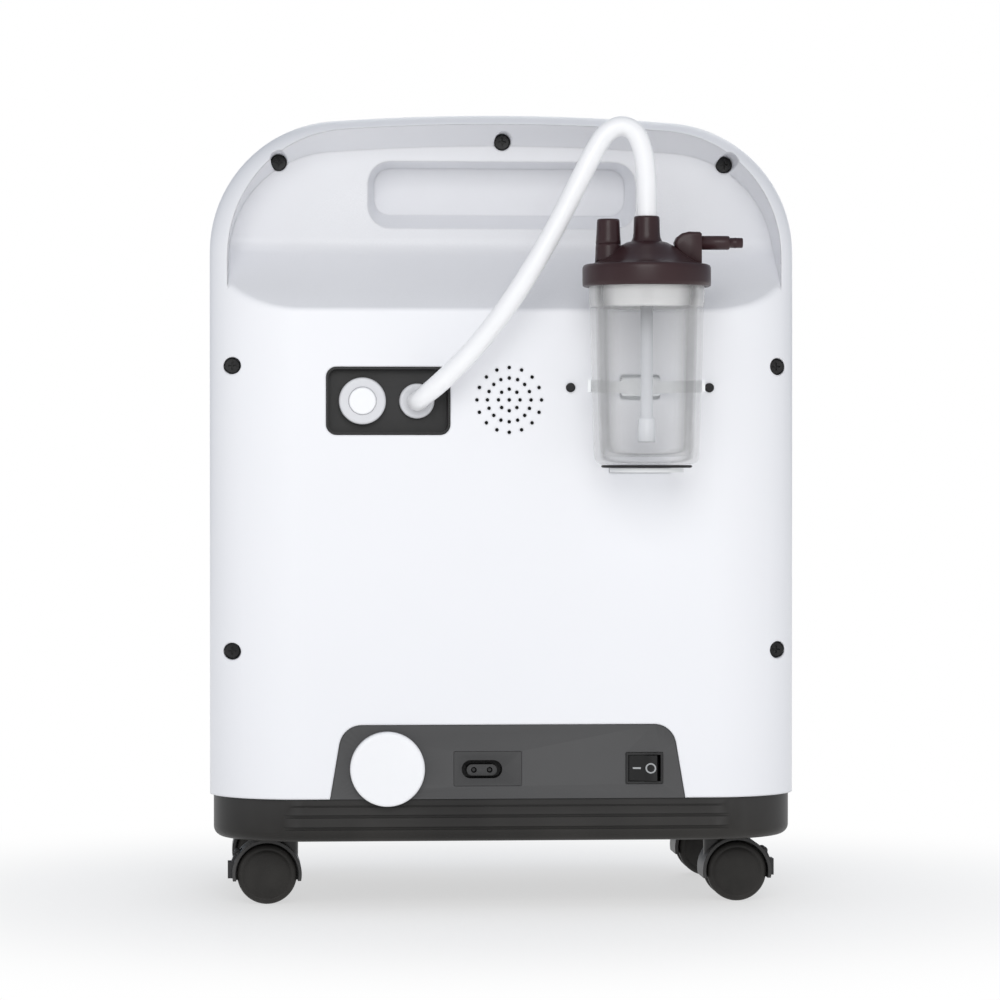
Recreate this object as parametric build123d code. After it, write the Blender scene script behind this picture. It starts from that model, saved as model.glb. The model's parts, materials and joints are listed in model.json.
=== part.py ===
from build123d import *
import math
import os

# Oxygen concentrator: an arched cabinet on four casters, with a humidifier bottle and
# carrying recess at the rear, controls on the front, and the compressor, fan, sieve beds,
# tank and electronics inside.
# Frame (mm): X to the right seen from behind, Y from the rear face to the front, Z up from
# the floor. The design is drawn about the middle of the cabinet and moved by SHIFT_Y when
# written, so that the origin is the floor-level centre of the overall box.

os.makedirs("parts", exist_ok=True)

# ---------------------------------------------------------------- driving dimensions
SHIFT_Y = 33.85
HALF_W = 196.0          # half width of the cabinet
HALF_D = 150.0          # half depth of the cabinet
TOP_Z = 528.0           # crown of the cabinet
SEAM_Z = 73.6           # joint between covers and base tray
BASE_Z = 45.5           # underside of the base tray
EDGE_R = 60.0           # rounding of the rear and front faces into the sides and top
CORNER_R = 88.0         # top corners seen from behind
CROWN_R = 1500.0        # slight arch of the top
WALL = 3.0              # cover wall
SPLIT_Y = 6.0           # parting plane between rear and front cover
GAP = 0.6               # parting gap
FAR = 260.0             # reach of trimming boxes, beyond the cabinet
RUN = 0.05              # running clearance, radial

INSIDE_Y = HALF_D - WALL - 0.2      # flanges behind the cover walls start here
REAR_CUT = (-160, -140)             # y range of cuts through the rear wall
FRONT_CUT = (140, 160)              # y range of cuts through the front wall
SIDES = (-1, 1)
CORNERS = [(sx, sy) for sx in SIDES for sy in SIDES]

# carrying recess in the rear cover
RECESS_Y = -90.0        # its back wall
RECESS_HALF_W = 183.5
RECESS_TOP = 508.0
RECESS_CORNER = 72.0
FLOOR_IN = 438.6        # floor height at the back wall
FLOOR_OUT = 395.6       # floor height at the rear face
RECESS_FLARE = 22.0     # slope of the top wall, degrees
RECESS_DEPTH = 80.0     # length of the cutting tool

# handle cup in the back wall of the recess
CUP_W, CUP_H, CUP_Z, CUP_R = 180.5, 45.0, 474.7, 15.0
CUP_DEPTH = 30.0

# rear face items
PORT_X, PORT_Z, PORT_W, PORT_H, PORT_R = -78.9, 335.5, 81.8, 44.9, 7.0
NEBULISER_X, OXYGEN_X = -95.8, -59.9
SPEAKER_X, SPEAKER_Z = 0.7, 336.2
SPEAKER_RINGS = [(0, 1), (7.1, 8), (14.4, 16), (21.3, 16)]      # ring radius, holes
SPEAKER_HOLE_R = 1.2
PANEL_Y = -149.2        # rear face of the service panel
PANEL_BOTTOM, PANEL_TOP_W, PANEL_TOP, PANEL_R = 118.3, 109.0, 122.7, 15.0
CAP_X, CAP_Z, CAP_R = -79.6, 93.9, 24.5
PLUG_Z = CAP_Z + 1.2    # axis of the cap's plug and the filter
INLET_X, INLET_Z, INLET_W, INLET_H = -13.4, 93.6, 44.5, 22.5
SWITCH_X, SWITCH_Z, SWITCH_W, SWITCH_H = 90.1, 93.5, 24.4, 20.5
PIVOT_Y = -142.5        # axis of the switch rocker

# cover screws; each set holds its (x, z) spots, then y stations
SCREW_BORE_R = 5.7
SCREW_HEAD_R = 5.3
SCREW_SETS = [
    # spots, head seat, head end, cross bottom, boss from, boss to, pilot hole end
    ([(0.0, 510.5), (-150.0, 496.0), (150.0, 496.0)], -86, -90.6, -89.0, -132, -72, -60),
    ([(-181.0, 359.0), (181.0, 359.0), (-181.0, 170.5), (181.0, 170.5)],
     -112, -123.0, -121.2, -152, -100, -90),
]

# humidifier bottle
BOTTLE_X, BOTTLE_Y = 87.0, -192.0
LID_R, LID_Z0, LID_Z1, LID_DOME = 41.7, 408.8, 423.0, 440.0
JAR_R1, JAR_R0, JAR_Z0, JAR_WALL = 37.6, 34.2, 293.6, 2.4
JAR_STRAIGHT_Z = 404.0  # the jar stops widening here
VALVE_X = BOTTLE_X - 25.0
ELBOW_X, ELBOW_Z = BOTTLE_X + 35.0, 437.5
CLIP_Z = 344.6
SHELF_Z = 291.6
SHELF_HALF_W = 20.0
BRACKET_SCREWS = [(BOTTLE_X + side * 45.9, CLIP_Z - 0.2) for side in SIDES]
HOSE_R, HOSE_BORE_R = 6.6, 3.9

# front face items
CONTROL_X, CONTROL_Z, CONTROL_W, CONTROL_H = -28.0, 398.0, 176.0, 84.0
SCREEN_X, SCREEN_Z, SCREEN_W, SCREEN_H = CONTROL_X - 18, CONTROL_Z + 8, 112, 50
BUTTONS = {             # x, z, radius
    "power_button": (CONTROL_X + 62, CONTROL_Z + 16, 9.0),
    "timer_button": (CONTROL_X + 62, CONTROL_Z - 14, 7.0),
}
FLOW_X, FLOW_Z, FLOW_W, FLOW_H = 104.0, 386.0, 36.0, 112.0
FLOW_BORE_Y = 144.2
KNOB_Z, KNOB_STEM_R = FLOW_Z - 40, 3.0

# casters
CASTER_X, CASTER_Y, CASTER_TRAIL = 146.0, 84.0, 12.0
WHEEL_R, WHEEL_Y0, WHEEL_Y1 = 20.0, 7.6, 16.0
HOOD_R = 23.2
AXLE_R = 2.5
STEM_R = 4.0
BRAKE_PIN_R = 1.2
CASTERS = [             # name, x side, y side, braked
    ("rear_left", -1, -1, True), ("rear_right", 1, -1, True),
    ("front_left", -1, 1, False), ("front_right", 1, 1, False),
]

# inside
COMP_Y, COMP_Z = 15.0, 138.0        # crankshaft axis of the compressor
SHAFT_R = 6.0
PISTON_X = 76
SPRING_X, SPRING_DY = 72, 46
FAN_Z, FAN_SHAFT_R = 226.0, 3.0
BED_X, BED_Y = 105, 52
TANK_Y = 98
VALVE_PORT_X, VALVE_PORT_Y = 20, 40


# ---------------------------------------------------------------- helpers
def rect(w, h, r=0.0):
    s = Rectangle(w, h)
    return fillet(s.vertices(), r) if r > 0 else s


def polygon(*points):
    return make_face(Polyline(*points, close=True))


def on_xz(sketch, x, z, y0, y1):
    """Sketch drawn in X/Z, extruded from y0 to y1 (y1 > y0)."""
    return Pos(x, y1, z) * extrude(Plane.XZ * sketch, amount=(y1 - y0))


# cylinders and boxes take the two ends of a range in either order
def cyl_x(y, z, r, x0, x1):
    return Pos((x0 + x1) / 2, y, z) * Rot(0, 90, 0) * Cylinder(r, abs(x1 - x0))


def cyl_y(x, z, r, y0, y1):
    return Pos(x, (y0 + y1) / 2, z) * Rot(90, 0, 0) * Cylinder(r, abs(y1 - y0))


def cyl_z(x, y, r, z0, z1):
    return Pos(x, y, (z0 + z1) / 2) * Cylinder(r, abs(z1 - z0))


def box(x0, x1, y0, y1, z0, z1):
    size = Box(abs(x1 - x0), abs(y1 - y0), abs(z1 - z0))
    return Pos((x0 + x1) / 2, (y0 + y1) / 2, (z0 + z1) / 2) * size


def disc_y(x, z, r, y0, y1, edge_r, front=False):
    """Cylinder along Y with its rear (or front) rim rounded."""
    body = cyl_y(x, z, r, y0, y1)
    rims = body.edges().filter_by(GeomType.CIRCLE).sort_by(Axis.Y)
    return fillet(rims[-1:] if front else rims[:1], edge_r)


def ring_z(x, y, profile):
    """Solid of revolution about the vertical axis through (x, y); profile is (r, z) points."""
    return Pos(x, y, 0) * revolve(Plane.XZ * polygon(*profile), Axis.Z)


def circle_spots(x, z, r, n, start=0.0):
    """n evenly spaced (x, z) points on a circle."""
    angles = [2 * math.pi * i / n + start for i in range(n)]
    return [(x + r * math.cos(a), z + r * math.sin(a)) for a in angles]


def taper_y(*sections):
    """Ruled loft through rounded rectangles; each is (y, z, w, h, r)."""
    faces = [Plane.XZ.offset(-y) * (Pos(0, z) * rect(w, h, r)) for y, z, w, h, r in sections]
    return loft(faces, ruled=True)


def rod(path, r):
    """Circle swept along a path."""
    return sweep(Plane(origin=path @ 0, z_dir=path % 0) * Circle(r), path)


def one(shape):
    """The single solid of a shape."""
    s = shape.solids()
    assert len(s) == 1, f"expected one solid, got {len(s)}"
    return s[0]


def save(name, *solids):
    moved = [s.moved(Location((0, SHIFT_Y, 0))) for s in solids]
    shape = moved[0] if len(moved) == 1 else Compound(children=moved)
    export_step(shape, f"parts/{name}.step")


# ---------------------------------------------------------------- cabinet outlines
def arch(half_w, z0, top, corner, crown):
    """Outline seen from behind: straight sides, arched top, rounded top corners."""
    side_top = top - (crown - math.sqrt(crown**2 - half_w**2))
    bottom = Line((-half_w, z0), (half_w, z0))
    right = Line((half_w, z0), (half_w, side_top))
    over = ThreePointArc((half_w, side_top), (0, top), (-half_w, side_top))
    left = Line((-half_w, side_top), (-half_w, z0))
    face = make_face(Curve() + [bottom, right, over, left])
    return fillet([v for v in face.vertices() if v.Y > z0 + 10], corner)


def cabinet(inset):
    """Cabinet body, inset from its outer skin, and running below the seam."""
    face = arch(HALF_W - inset, -60, TOP_Z - inset, CORNER_R - inset, CROWN_R - inset)
    d = HALF_D - inset
    body = Pos(0, d, 0) * extrude(Plane.XZ * face, amount=2 * d)
    edges = [e for e in body.edges()
             if abs(e.center().Y - d) < 1e-3 or abs(e.center().Y + d) < 1e-3]
    return one(fillet(edges, EDGE_R - inset))


def recess(grow):
    """Tool for the carrying recess: straight sides, top wall flaring towards the rear."""
    back = RECESS_Y + grow
    rise = math.tan(math.radians(RECESS_FLARE)) * RECESS_DEPTH
    half_w = RECESS_HALF_W + grow
    corner = RECESS_CORNER + grow
    inner_end = arch(half_w, 300, RECESS_TOP + grow, corner, CROWN_R)
    outer_end = arch(half_w + 1.2, 300, RECESS_TOP + 1.1 * grow + rise, corner + 36.0, CROWN_R)
    hull = loft([Plane.XZ.offset(-back) * inner_end,
                 Plane.XZ.offset(-(back - RECESS_DEPTH)) * outer_end], ruled=True)
    # everything above the sloping floor
    slope = (FLOOR_IN - FLOOR_OUT) / (RECESS_Y + HALF_D)
    reach = RECESS_DEPTH + 5
    z_in = FLOOR_IN - grow / math.cos(math.atan(slope)) + slope * grow
    z_out = z_in - slope * reach
    side = polygon((back, z_in), (back, 600), (back - reach, 600), (back - reach, z_out))
    wedge = Pos(-FAR, 0, 0) * extrude(Plane.YZ * side, amount=2 * FAR)
    tool = one(hull & wedge)
    crease = [e for e in tool.edges()
              if abs(e.center().Y - back) < 1e-3 and abs(e.center().Z - z_in) < 1e-3]
    return one(fillet(crease, 14.0 + grow))


def panel_outline(grow=0.0):
    """Trapezoid with rounded top corners for the service panel."""
    z0 = SEAM_Z - 6
    bottom, top_w, top = PANEL_BOTTOM + grow, PANEL_TOP_W + grow, PANEL_TOP + grow
    face = polygon((-bottom, z0), (bottom, z0), (top_w, top), (-top_w, top))
    return fillet([v for v in face.vertices() if v.Y > z0 + 10], PANEL_R + grow)


# ---------------------------------------------------------------- covers
def cover_shell():
    """Solid outer form, and the hollow shell cut from it."""
    above_seam = box(-FAR, FAR, -FAR, FAR, SEAM_Z + 0.4, 700)
    form = (cabinet(0.0) & above_seam) - recess(0.0)
    # soften the lip between the recess floor and the rear face; the guard leaves the
    # lip sharp if the kernel cannot fillet it
    try:
        lip = [e for e in form.edges()
               if abs(e.center().Y + HALF_D) < 1.0 and abs(e.center().Z - FLOOR_OUT) < 1.5]
        form = fillet(lip, 5.0)
    except Exception:
        pass
    skin = one(form)
    return skin, skin - (cabinet(WALL) - recess(WALL))


def make_rear_cover(skin, shell):
    rear = shell & box(-FAR, FAR, -FAR, SPLIT_Y - GAP / 2, 0, 700)
    # screw bosses, then their bores
    for spots, _, _, _, boss_y0, boss_y1, _ in SCREW_SETS:
        for x, z in spots:
            rear += cyl_y(x, z, SCREW_BORE_R + 2.4, boss_y0, boss_y1) & skin
    for spots, seat, _, _, _, _, pilot_y in SCREW_SETS:
        for x, z in spots:
            rear -= cyl_y(x, z, SCREW_BORE_R, -160, seat)
            rear -= cyl_y(x, z, 2.3, seat - 14, pilot_y)
    # openings for the cup, port tray and service panel
    rear -= on_xz(rect(CUP_W - 8, CUP_H - 8, CUP_R), 0, CUP_Z, -95, -70)
    rear -= on_xz(rect(PORT_W, PORT_H, PORT_R), PORT_X, PORT_Z, *REAR_CUT)
    rear -= on_xz(panel_outline(), 0, 0, *REAR_CUT)
    rear -= [cyl_y(x, z, SPEAKER_HOLE_R, *REAR_CUT)
             for r, n in SPEAKER_RINGS
             for x, z in circle_spots(SPEAKER_X, SPEAKER_Z, r, n, math.pi / 2)]
    # clip stem opening behind the bottle, and two screw holes
    rear -= on_xz(rect(26, 16, 2), BOTTLE_X, CLIP_Z, *REAR_CUT)
    for x, z in BRACKET_SCREWS:
        rear -= cyl_y(x, z, 1.9, *REAR_CUT)
    rear = one(rear)

    # handle cup: flange behind the wall, rim in it, tapering bowl
    cup = on_xz(rect(CUP_W + 6, CUP_H + 6, CUP_R + 3), 0, CUP_Z, -87.5, -84.5)
    cup += on_xz(rect(CUP_W + 0.4, CUP_H + 0.4, CUP_R), 0, CUP_Z, RECESS_Y + 0.05, -84.5)
    cup += taper_y((-84.9, CUP_Z, CUP_W + 2, CUP_H + 2, CUP_R),
                   (-84.9 + CUP_DEPTH - 5, CUP_Z + 3.5, CUP_W - 6, CUP_H - 8, CUP_R - 2))
    hollow = taper_y((-90.5, CUP_Z, CUP_W, CUP_H, CUP_R),
                     (-62.5, CUP_Z + 4.0, CUP_W - 10.0, CUP_H - 13.0, CUP_R - 4.0))
    rear = one((rear + cup) - hollow)
    # slot for the jar shelf
    half = SHELF_HALF_W + 0.2
    rear -= box(BOTTLE_X - half, BOTTLE_X + half, -152, -140, SHELF_Z - 3.4, SHELF_Z - 0.2)
    return rear.solids()


def make_front_cover(shell):
    front = shell & box(-FAR, FAR, SPLIT_Y + GAP / 2, FAR, 0, 700)
    front -= on_xz(rect(CONTROL_W, CONTROL_H, 14), CONTROL_X, CONTROL_Z, *FRONT_CUT)
    front -= on_xz(rect(FLOW_W, FLOW_H, 6), FLOW_X, FLOW_Z, *FRONT_CUT)
    # nine slots, longest in the middle
    front -= [on_xz(rect(150 - 4 * abs(i - 4), 4.0, 1.9), 0, 130 + 11 * i, *FRONT_CUT)
              for i in range(9)]
    # side louvres
    front -= [box(side * 194 - 8, side * 194 + 8, 30, 84, z, z + 4.5)
              for side in SIDES for z in range(140, 213, 12)]
    return one(front)


def make_cover_screw(x, z, seat, head_y, cross_y):
    screw = disc_y(x, z, SCREW_HEAD_R, head_y, seat - 0.2, 0.8)
    long, short = 2.6, 0.55     # half sizes of the cross arms
    cross = (box(x - long, x + long, head_y - 2, cross_y, z - short, z + short)
             + box(x - short, x + short, head_y - 2, cross_y, z - long, z + long))
    return one(screw - cross + cyl_y(x, z, 2.1, seat - 0.5, seat + 20))


# ---------------------------------------------------------------- base tray
def make_base_tray():
    half_w, half_d, corner = HALF_W - 2.5, HALF_D - 2.5, EDGE_R - 1.0
    wall = 3.2

    def plan(inset, z0, z1):
        outline = rect(2 * (half_w - inset), 2 * (half_d - inset), corner - inset)
        return Pos(0, 0, z0) * extrude(outline, amount=(z1 - z0))

    tray = plan(0, BASE_Z, SEAM_Z)
    tray = fillet(tray.faces().sort_by(Axis.Z)[0].edges(), 6.5)
    tray -= plan(wall, BASE_Z + 4, SEAM_Z + 1)
    # shallow grooves along the rear and front faces
    for z, height, depth in ((69.0, 1.0, 0.7), (62.3, 2.0, 1.5), (54.4, 2.0, 1.5)):
        for side in SIDES:
            tray -= box(-158, 158, side * (half_d + 1), side * (half_d - depth),
                        z - height / 2, z + height / 2)
    # caster sockets
    for sx, sy in CORNERS:
        x, y = sx * CASTER_X, sy * CASTER_Y
        tray += cyl_z(x, y, 11, BASE_Z + 1, BASE_Z + 18)
        tray -= cyl_z(x, y, STEM_R + RUN, BASE_Z - 1, BASE_Z + 15)
    # pads under the compressor springs
    for sx, sy in CORNERS:
        tray += cyl_z(sx * SPRING_X, COMP_Y + sy * SPRING_DY, 12, BASE_Z + 1, BASE_Z + 6.5)
    # vent slots in the floor
    for i in range(10):
        tray -= box(-60 + 12 * i, -54 + 12 * i, -20, 50, BASE_Z - 1, BASE_Z + 5)
    return one(tray)


# ---------------------------------------------------------------- service panel
def make_service_panel():
    panel = on_xz(panel_outline(-0.3), 0, 0, PANEL_Y, -146.2)
    panel &= box(-200, 200, -200, 0, SEAM_Z + 0.2, 200)
    # flange hidden behind the cover wall
    flange = on_xz(panel_outline(6.0), 0, 0, -INSIDE_Y, -144.8)
    panel += flange & box(-200, 200, -200, 0, SEAM_Z + 0.6, 200)
    # filter cup, trimmed at the seam
    panel += cyl_y(CAP_X, PLUG_Z, 27.0, -146.2, -120.0)
    panel &= box(-FAR, FAR, -FAR, FAR, SEAM_Z + 0.2, 300)
    panel -= cyl_y(CAP_X, PLUG_Z, 19.0, -160, -122.0)
    panel -= cyl_y(CAP_X, PLUG_Z, 5.0, -130, -110)
    panel -= on_xz(rect(INLET_W + 0.4, INLET_H + 0.4, 1.0), INLET_X, INLET_Z, *REAR_CUT)
    panel -= on_xz(rect(SWITCH_W + 0.4, SWITCH_H + 0.4, 0.8), SWITCH_X, SWITCH_Z, *REAR_CUT)
    return one(panel)


def make_filter_cap():
    """Round knob with a hollow plug that sits in the filter cup."""
    cap = disc_y(CAP_X, CAP_Z, CAP_R, -157.0, -149.5, 2.2)
    cap += cyl_y(CAP_X, PLUG_Z, 18.6, -150.0, -143.0)
    return one(cap - cyl_y(CAP_X, PLUG_Z, 15.0, -147.0, -140.0))


def make_intake_filter():
    """Fluted plug in the filter cup."""
    r = 17.5
    plug = cyl_y(CAP_X, PLUG_Z, r, -142.4, -122.6)
    for x, z in circle_spots(CAP_X, PLUG_Z, r, 18):
        plug -= cyl_y(x, z, 1.1, -144.5, -120.5)
    return one(plug)


def make_mains_inlet():
    """Flush frame with an oblong two-pin recess."""
    bottom_y = -136.5
    socket_x = INLET_X - 3.9
    core_z = INLET_Z - 0.9
    pins = [socket_x + side * 5.2 for side in SIDES]
    inlet = on_xz(rect(INLET_W, INLET_H, 0.8), INLET_X, INLET_Z, PANEL_Y + 0.1, -132.0)
    inlet -= on_xz(SlotOverall(26.7, 12.0), socket_x, INLET_Z - 0.3, PANEL_Y - 1, bottom_y)
    inlet += on_xz(SlotOverall(20.0, 7.4), socket_x, core_z, PANEL_Y + 1.6, bottom_y)
    for x in pins:
        inlet -= cyl_y(x, core_z, 1.9, -160, -138)
    for x in pins:
        inlet += cyl_y(x, core_z, 1.15, -145.5, -126)
    return one(inlet)


def make_switch_frame():
    frame = on_xz(rect(SWITCH_W, SWITCH_H, 0.6), SWITCH_X, SWITCH_Z, PANEL_Y - 0.6, -132.0)
    frame -= on_xz(rect(SWITCH_W - 3.0, SWITCH_H - 3.0, 0.4), SWITCH_X, SWITCH_Z, -160, -134.5)
    frame -= cyl_z(SWITCH_X, PIVOT_Y, 1.0 + RUN, SWITCH_Z - 9.6, SWITCH_Z + 9.6)
    return one(frame)


def make_switch_rocker():
    """Rocker on a vertical pin; its ridge stands proud to the right of the pin."""
    half_w, height = (SWITCH_W - 3.6) / 2, SWITCH_H - 3.6
    outline = [         # x from the pin, y
        (-half_w, PIVOT_Y - 5.2), (-0.5, PIVOT_Y - 7.4),
        (8.0, PIVOT_Y - 10.6), (half_w - 0.1, PIVOT_Y - 2.0),
        (half_w - 3, PIVOT_Y + 1.0), (2.4, PIVOT_Y + 2.4),
        (-2.4, PIVOT_Y + 2.4), (-half_w + 2.0, PIVOT_Y + 1.0),
    ]
    body = extrude(polygon(*outline), amount=height)
    rocker = Pos(SWITCH_X, 0, SWITCH_Z - height / 2) * body
    return one(rocker + cyl_z(SWITCH_X, PIVOT_Y, 1.0, SWITCH_Z - 9.4, SWITCH_Z + 9.4))


# ---------------------------------------------------------------- port tray and ports
def make_port_tray():
    face = rect(PORT_W - 0.4, PORT_H - 0.4, PORT_R - 0.2)
    flange = rect(PORT_W + 8, PORT_H + 8, PORT_R + 4)
    well = rect(PORT_W - 3.4, PORT_H - 3.4, PORT_R - 1.7)
    tray = on_xz(face, PORT_X, PORT_Z, -149.4, -INSIDE_Y)
    tray += on_xz(flange, PORT_X, PORT_Z, -INSIDE_Y, -145.0)
    tray += on_xz(face, PORT_X, PORT_Z, -145.2, -138.0)
    tray -= on_xz(well, PORT_X, PORT_Z, -160, -140.5)
    tray -= cyl_y(NEBULISER_X, PORT_Z, 9.0 + RUN, -145, -130)
    tray -= cyl_y(OXYGEN_X, PORT_Z, 8.0 + RUN, -145, -130)
    return one(tray)


def make_nebuliser_port():
    port = disc_y(NEBULISER_X, PORT_Z, 15.4, -149.0, -140.6, 1.6)
    port += cyl_y(NEBULISER_X, PORT_Z, 9.0, -142, -126.0)
    port -= cyl_y(NEBULISER_X, PORT_Z, 9.2, -150, -144.0)
    return one(port - cyl_y(NEBULISER_X, PORT_Z, 5.0, -150, -120))


def make_nebuliser_plug():
    plug = disc_y(NEBULISER_X, PORT_Z, 9.0, -151.0, -144.1, 1.4)
    return one(plug + cyl_y(NEBULISER_X, PORT_Z, 4.9, -144.5, -132))


def make_oxygen_port():
    port = disc_y(OXYGEN_X, PORT_Z, 11.5, -147.0, -140.6, 1.8)
    port += cyl_y(OXYGEN_X, PORT_Z, 8.0, -142, -126.0)
    port += cyl_y(OXYGEN_X, PORT_Z, 3.8, -158.0, -146.5)
    return one(port - cyl_y(OXYGEN_X, PORT_Z, 2.2, -170, -120))


# ---------------------------------------------------------------- humidifier
def make_bottle_lid():
    lid = ring_z(BOTTLE_X, BOTTLE_Y, [
        # outside, from the top down to the rim
        (0, LID_DOME), (9, LID_DOME - 0.6), (17, LID_DOME - 3.0), (24, LID_DOME - 7.5),
        (31, LID_DOME - 12.5), (36, LID_Z1 + 0.6), (40.4, LID_Z1 + 0.4),
        (LID_R, LID_Z1 - 1.0), (LID_R, LID_Z0),
        # inside, back up to the axis
        (JAR_R1 + 0.5, LID_Z0), (JAR_R1 + 0.5, LID_Z1 - 3.0), (30, LID_Z1 - 2.4),
        (22, LID_DOME - 10.0), (0, LID_DOME - 4.0)])
    # hose socket on top, with a narrower bore below
    lid += cyl_z(BOTTLE_X, BOTTLE_Y, 8.2, LID_DOME - 4.5, 454.6)
    lid -= cyl_z(BOTTLE_X, BOTTLE_Y, HOSE_R + 0.1, 445.0, 460)
    lid -= cyl_z(BOTTLE_X, BOTTLE_Y, 3.3, 430, 446)
    # seat of the relief valve
    lid = one(lid) + cyl_z(VALVE_X, BOTTLE_Y, 8.2, 428.0, 436.5)
    return (lid - cyl_z(VALVE_X, BOTTLE_Y, 8.3, 436.5, 470)).solids()


def make_relief_valve():
    return one(ring_z(VALVE_X, BOTTLE_Y, [
        (0, 436.6), (8.1, 436.6), (7.2, 452.6), (5.0, 452.6), (5.0, 446.0), (0, 446.0)]))


def make_outlet_elbow(lid):
    """Web standing on the lid with a spigot to the right."""
    web = polygon(*[(ELBOW_X + dx, z) for dx, z in (
        (0.6, LID_Z1 - 0.4), (0.6, 443.6), (-0.4, 444.5), (-8, 444.6), (-12.4, 443.4),
        (-15.8, 440.8), (-17.4, 437.4), (-16.6, 434.0), (-13.5, 430.6), (-8, 426.0))])
    step_x = BOTTLE_X + 53.9
    elbow = on_xz(web, 0, 0, BOTTLE_Y - 5.6, BOTTLE_Y + 5.6)
    elbow += cyl_x(BOTTLE_Y, ELBOW_Z, 4.55, ELBOW_X - 4, step_x)
    elbow += cyl_x(BOTTLE_Y, ELBOW_Z, 3.3, step_x, BOTTLE_X + 62.6)
    elbow -= cyl_x(BOTTLE_Y, ELBOW_Z, 1.8, ELBOW_X - 8, BOTTLE_X + 70)
    # the cut by the lid leaves scraps; the elbow is the largest piece
    return max((elbow - lid).solids(), key=lambda s: s.volume)


def make_bottle_jar():
    inner_r1, inner_r0 = JAR_R1 - JAR_WALL, JAR_R0 - JAR_WALL
    return one(ring_z(BOTTLE_X, BOTTLE_Y, [
        # outside, up to the rim
        (0, JAR_Z0), (JAR_R0 - 3.5, JAR_Z0), (JAR_R0 - 0.6, JAR_Z0 + 1.4),
        (JAR_R0, JAR_Z0 + 4.5), (JAR_R1, JAR_STRAIGHT_Z), (JAR_R1, LID_Z1 - 4.0),
        # inside, down to the floor
        (inner_r1, LID_Z1 - 4.0), (inner_r1, 398.0), (inner_r1 - 0.6, 394.5),
        (inner_r0 - 1.0, JAR_Z0 + 8.5), (inner_r0 - 3.0, JAR_Z0 + 5.0), (0, JAR_Z0 + 5.0)]))


def make_bubbler_tube():
    """Tube down the jar with a hollow foot."""
    tube = cyl_z(BOTTLE_X, BOTTLE_Y, 3.2, 318.0, LID_DOME - 10.5)
    tube -= cyl_z(BOTTLE_X, BOTTLE_Y, 2.0, 322.0, 500)
    tube += cyl_z(BOTTLE_X, BOTTLE_Y, 5.6, 308.0, 322.0)
    return one(tube - cyl_z(BOTTLE_X, BOTTLE_Y, 4.4, 300, 314.0))


def make_jar_pad():
    return one(cyl_z(BOTTLE_X, BOTTLE_Y, 29.5, SHELF_Z - 0.1, SHELF_Z + 1.7))


def make_bottle_bracket():
    """Arms on the cabinet side of the jar, stem through the cover, plate inside, shelf."""
    jar_r = JAR_R0 + (JAR_R1 - JAR_R0) * (CLIP_Z - JAR_Z0) / (JAR_STRAIGHT_Z - JAR_Z0)
    bore_r = jar_r + 0.5
    clip = (cyl_z(BOTTLE_X, BOTTLE_Y, jar_r + 2.5, CLIP_Z - 4, CLIP_Z + 4)
            - cyl_z(BOTTLE_X, BOTTLE_Y, bore_r, CLIP_Z - 7, CLIP_Z + 7))
    clip &= box(BOTTLE_X - 60, BOTTLE_X + 60, BOTTLE_Y + 1, -150.4, 300, 400)
    clip += on_xz(rect(25.4, 11.5, 1.5), BOTTLE_X, CLIP_Z, -156.0, -144.0)
    clip -= cyl_z(BOTTLE_X, BOTTLE_Y, bore_r, CLIP_Z - 15, CLIP_Z + 15)
    clip += on_xz(rect(110, 16, 3), BOTTLE_X, CLIP_Z, -146.6, -143.6)
    for x, z in BRACKET_SCREWS:
        clip += cyl_y(x, z, 4.0, -144.0, -137.0)
        clip -= cyl_y(x, z, 1.45, -160, -138.5)
    z0, z1 = SHELF_Z - 3.2, SHELF_Z - 0.4
    ledge = cyl_z(BOTTLE_X, BOTTLE_Y, 24.0, z0, z1)
    ledge += box(BOTTLE_X - SHELF_HALF_W, BOTTLE_X + SHELF_HALF_W, BOTTLE_Y, -146.0, z0, z1)
    ledge += on_xz(rect(60, 20, 3), BOTTLE_X, SHELF_Z - 2, -INSIDE_Y, -144.6)
    spine = on_xz(rect(30, CLIP_Z - SHELF_Z + 12, 2), BOTTLE_X,
                  (CLIP_Z + SHELF_Z) / 2 - 1, -146.5, -143.8)
    return one(clip + ledge + spine)


def make_bracket_screw(x, z):
    head = disc_y(x, z, 3.1, -152.0, -150.05, 0.9)
    return one(head + cyl_y(x, z, 1.4, -150.5, -139.0))


def make_oxygen_hose():
    """From the oxygen port to the rear, up and over, and down into the lid."""
    path = FilletPolyline(
        (OXYGEN_X, -150.5, PORT_Z), (OXYGEN_X, -176, PORT_Z), (-1.5, BOTTLE_Y, 380.5),
        (35.5, BOTTLE_Y, 446.5), (61.5, BOTTLE_Y, 515.0), (BOTTLE_X, BOTTLE_Y, 515.0),
        (BOTTLE_X, BOTTLE_Y, 445.2), radius=11.5)
    return one(rod(path, HOSE_R) - rod(path, HOSE_BORE_R))


# ---------------------------------------------------------------- casters
# (ax, ay) is the stem axis; the wheel axis lies CASTER_TRAIL further out in X, at wx
def brake_pin(sx, wx):
    """x and z of the brake lever's pin."""
    return wx + sx * 19.5, 33.0


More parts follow.
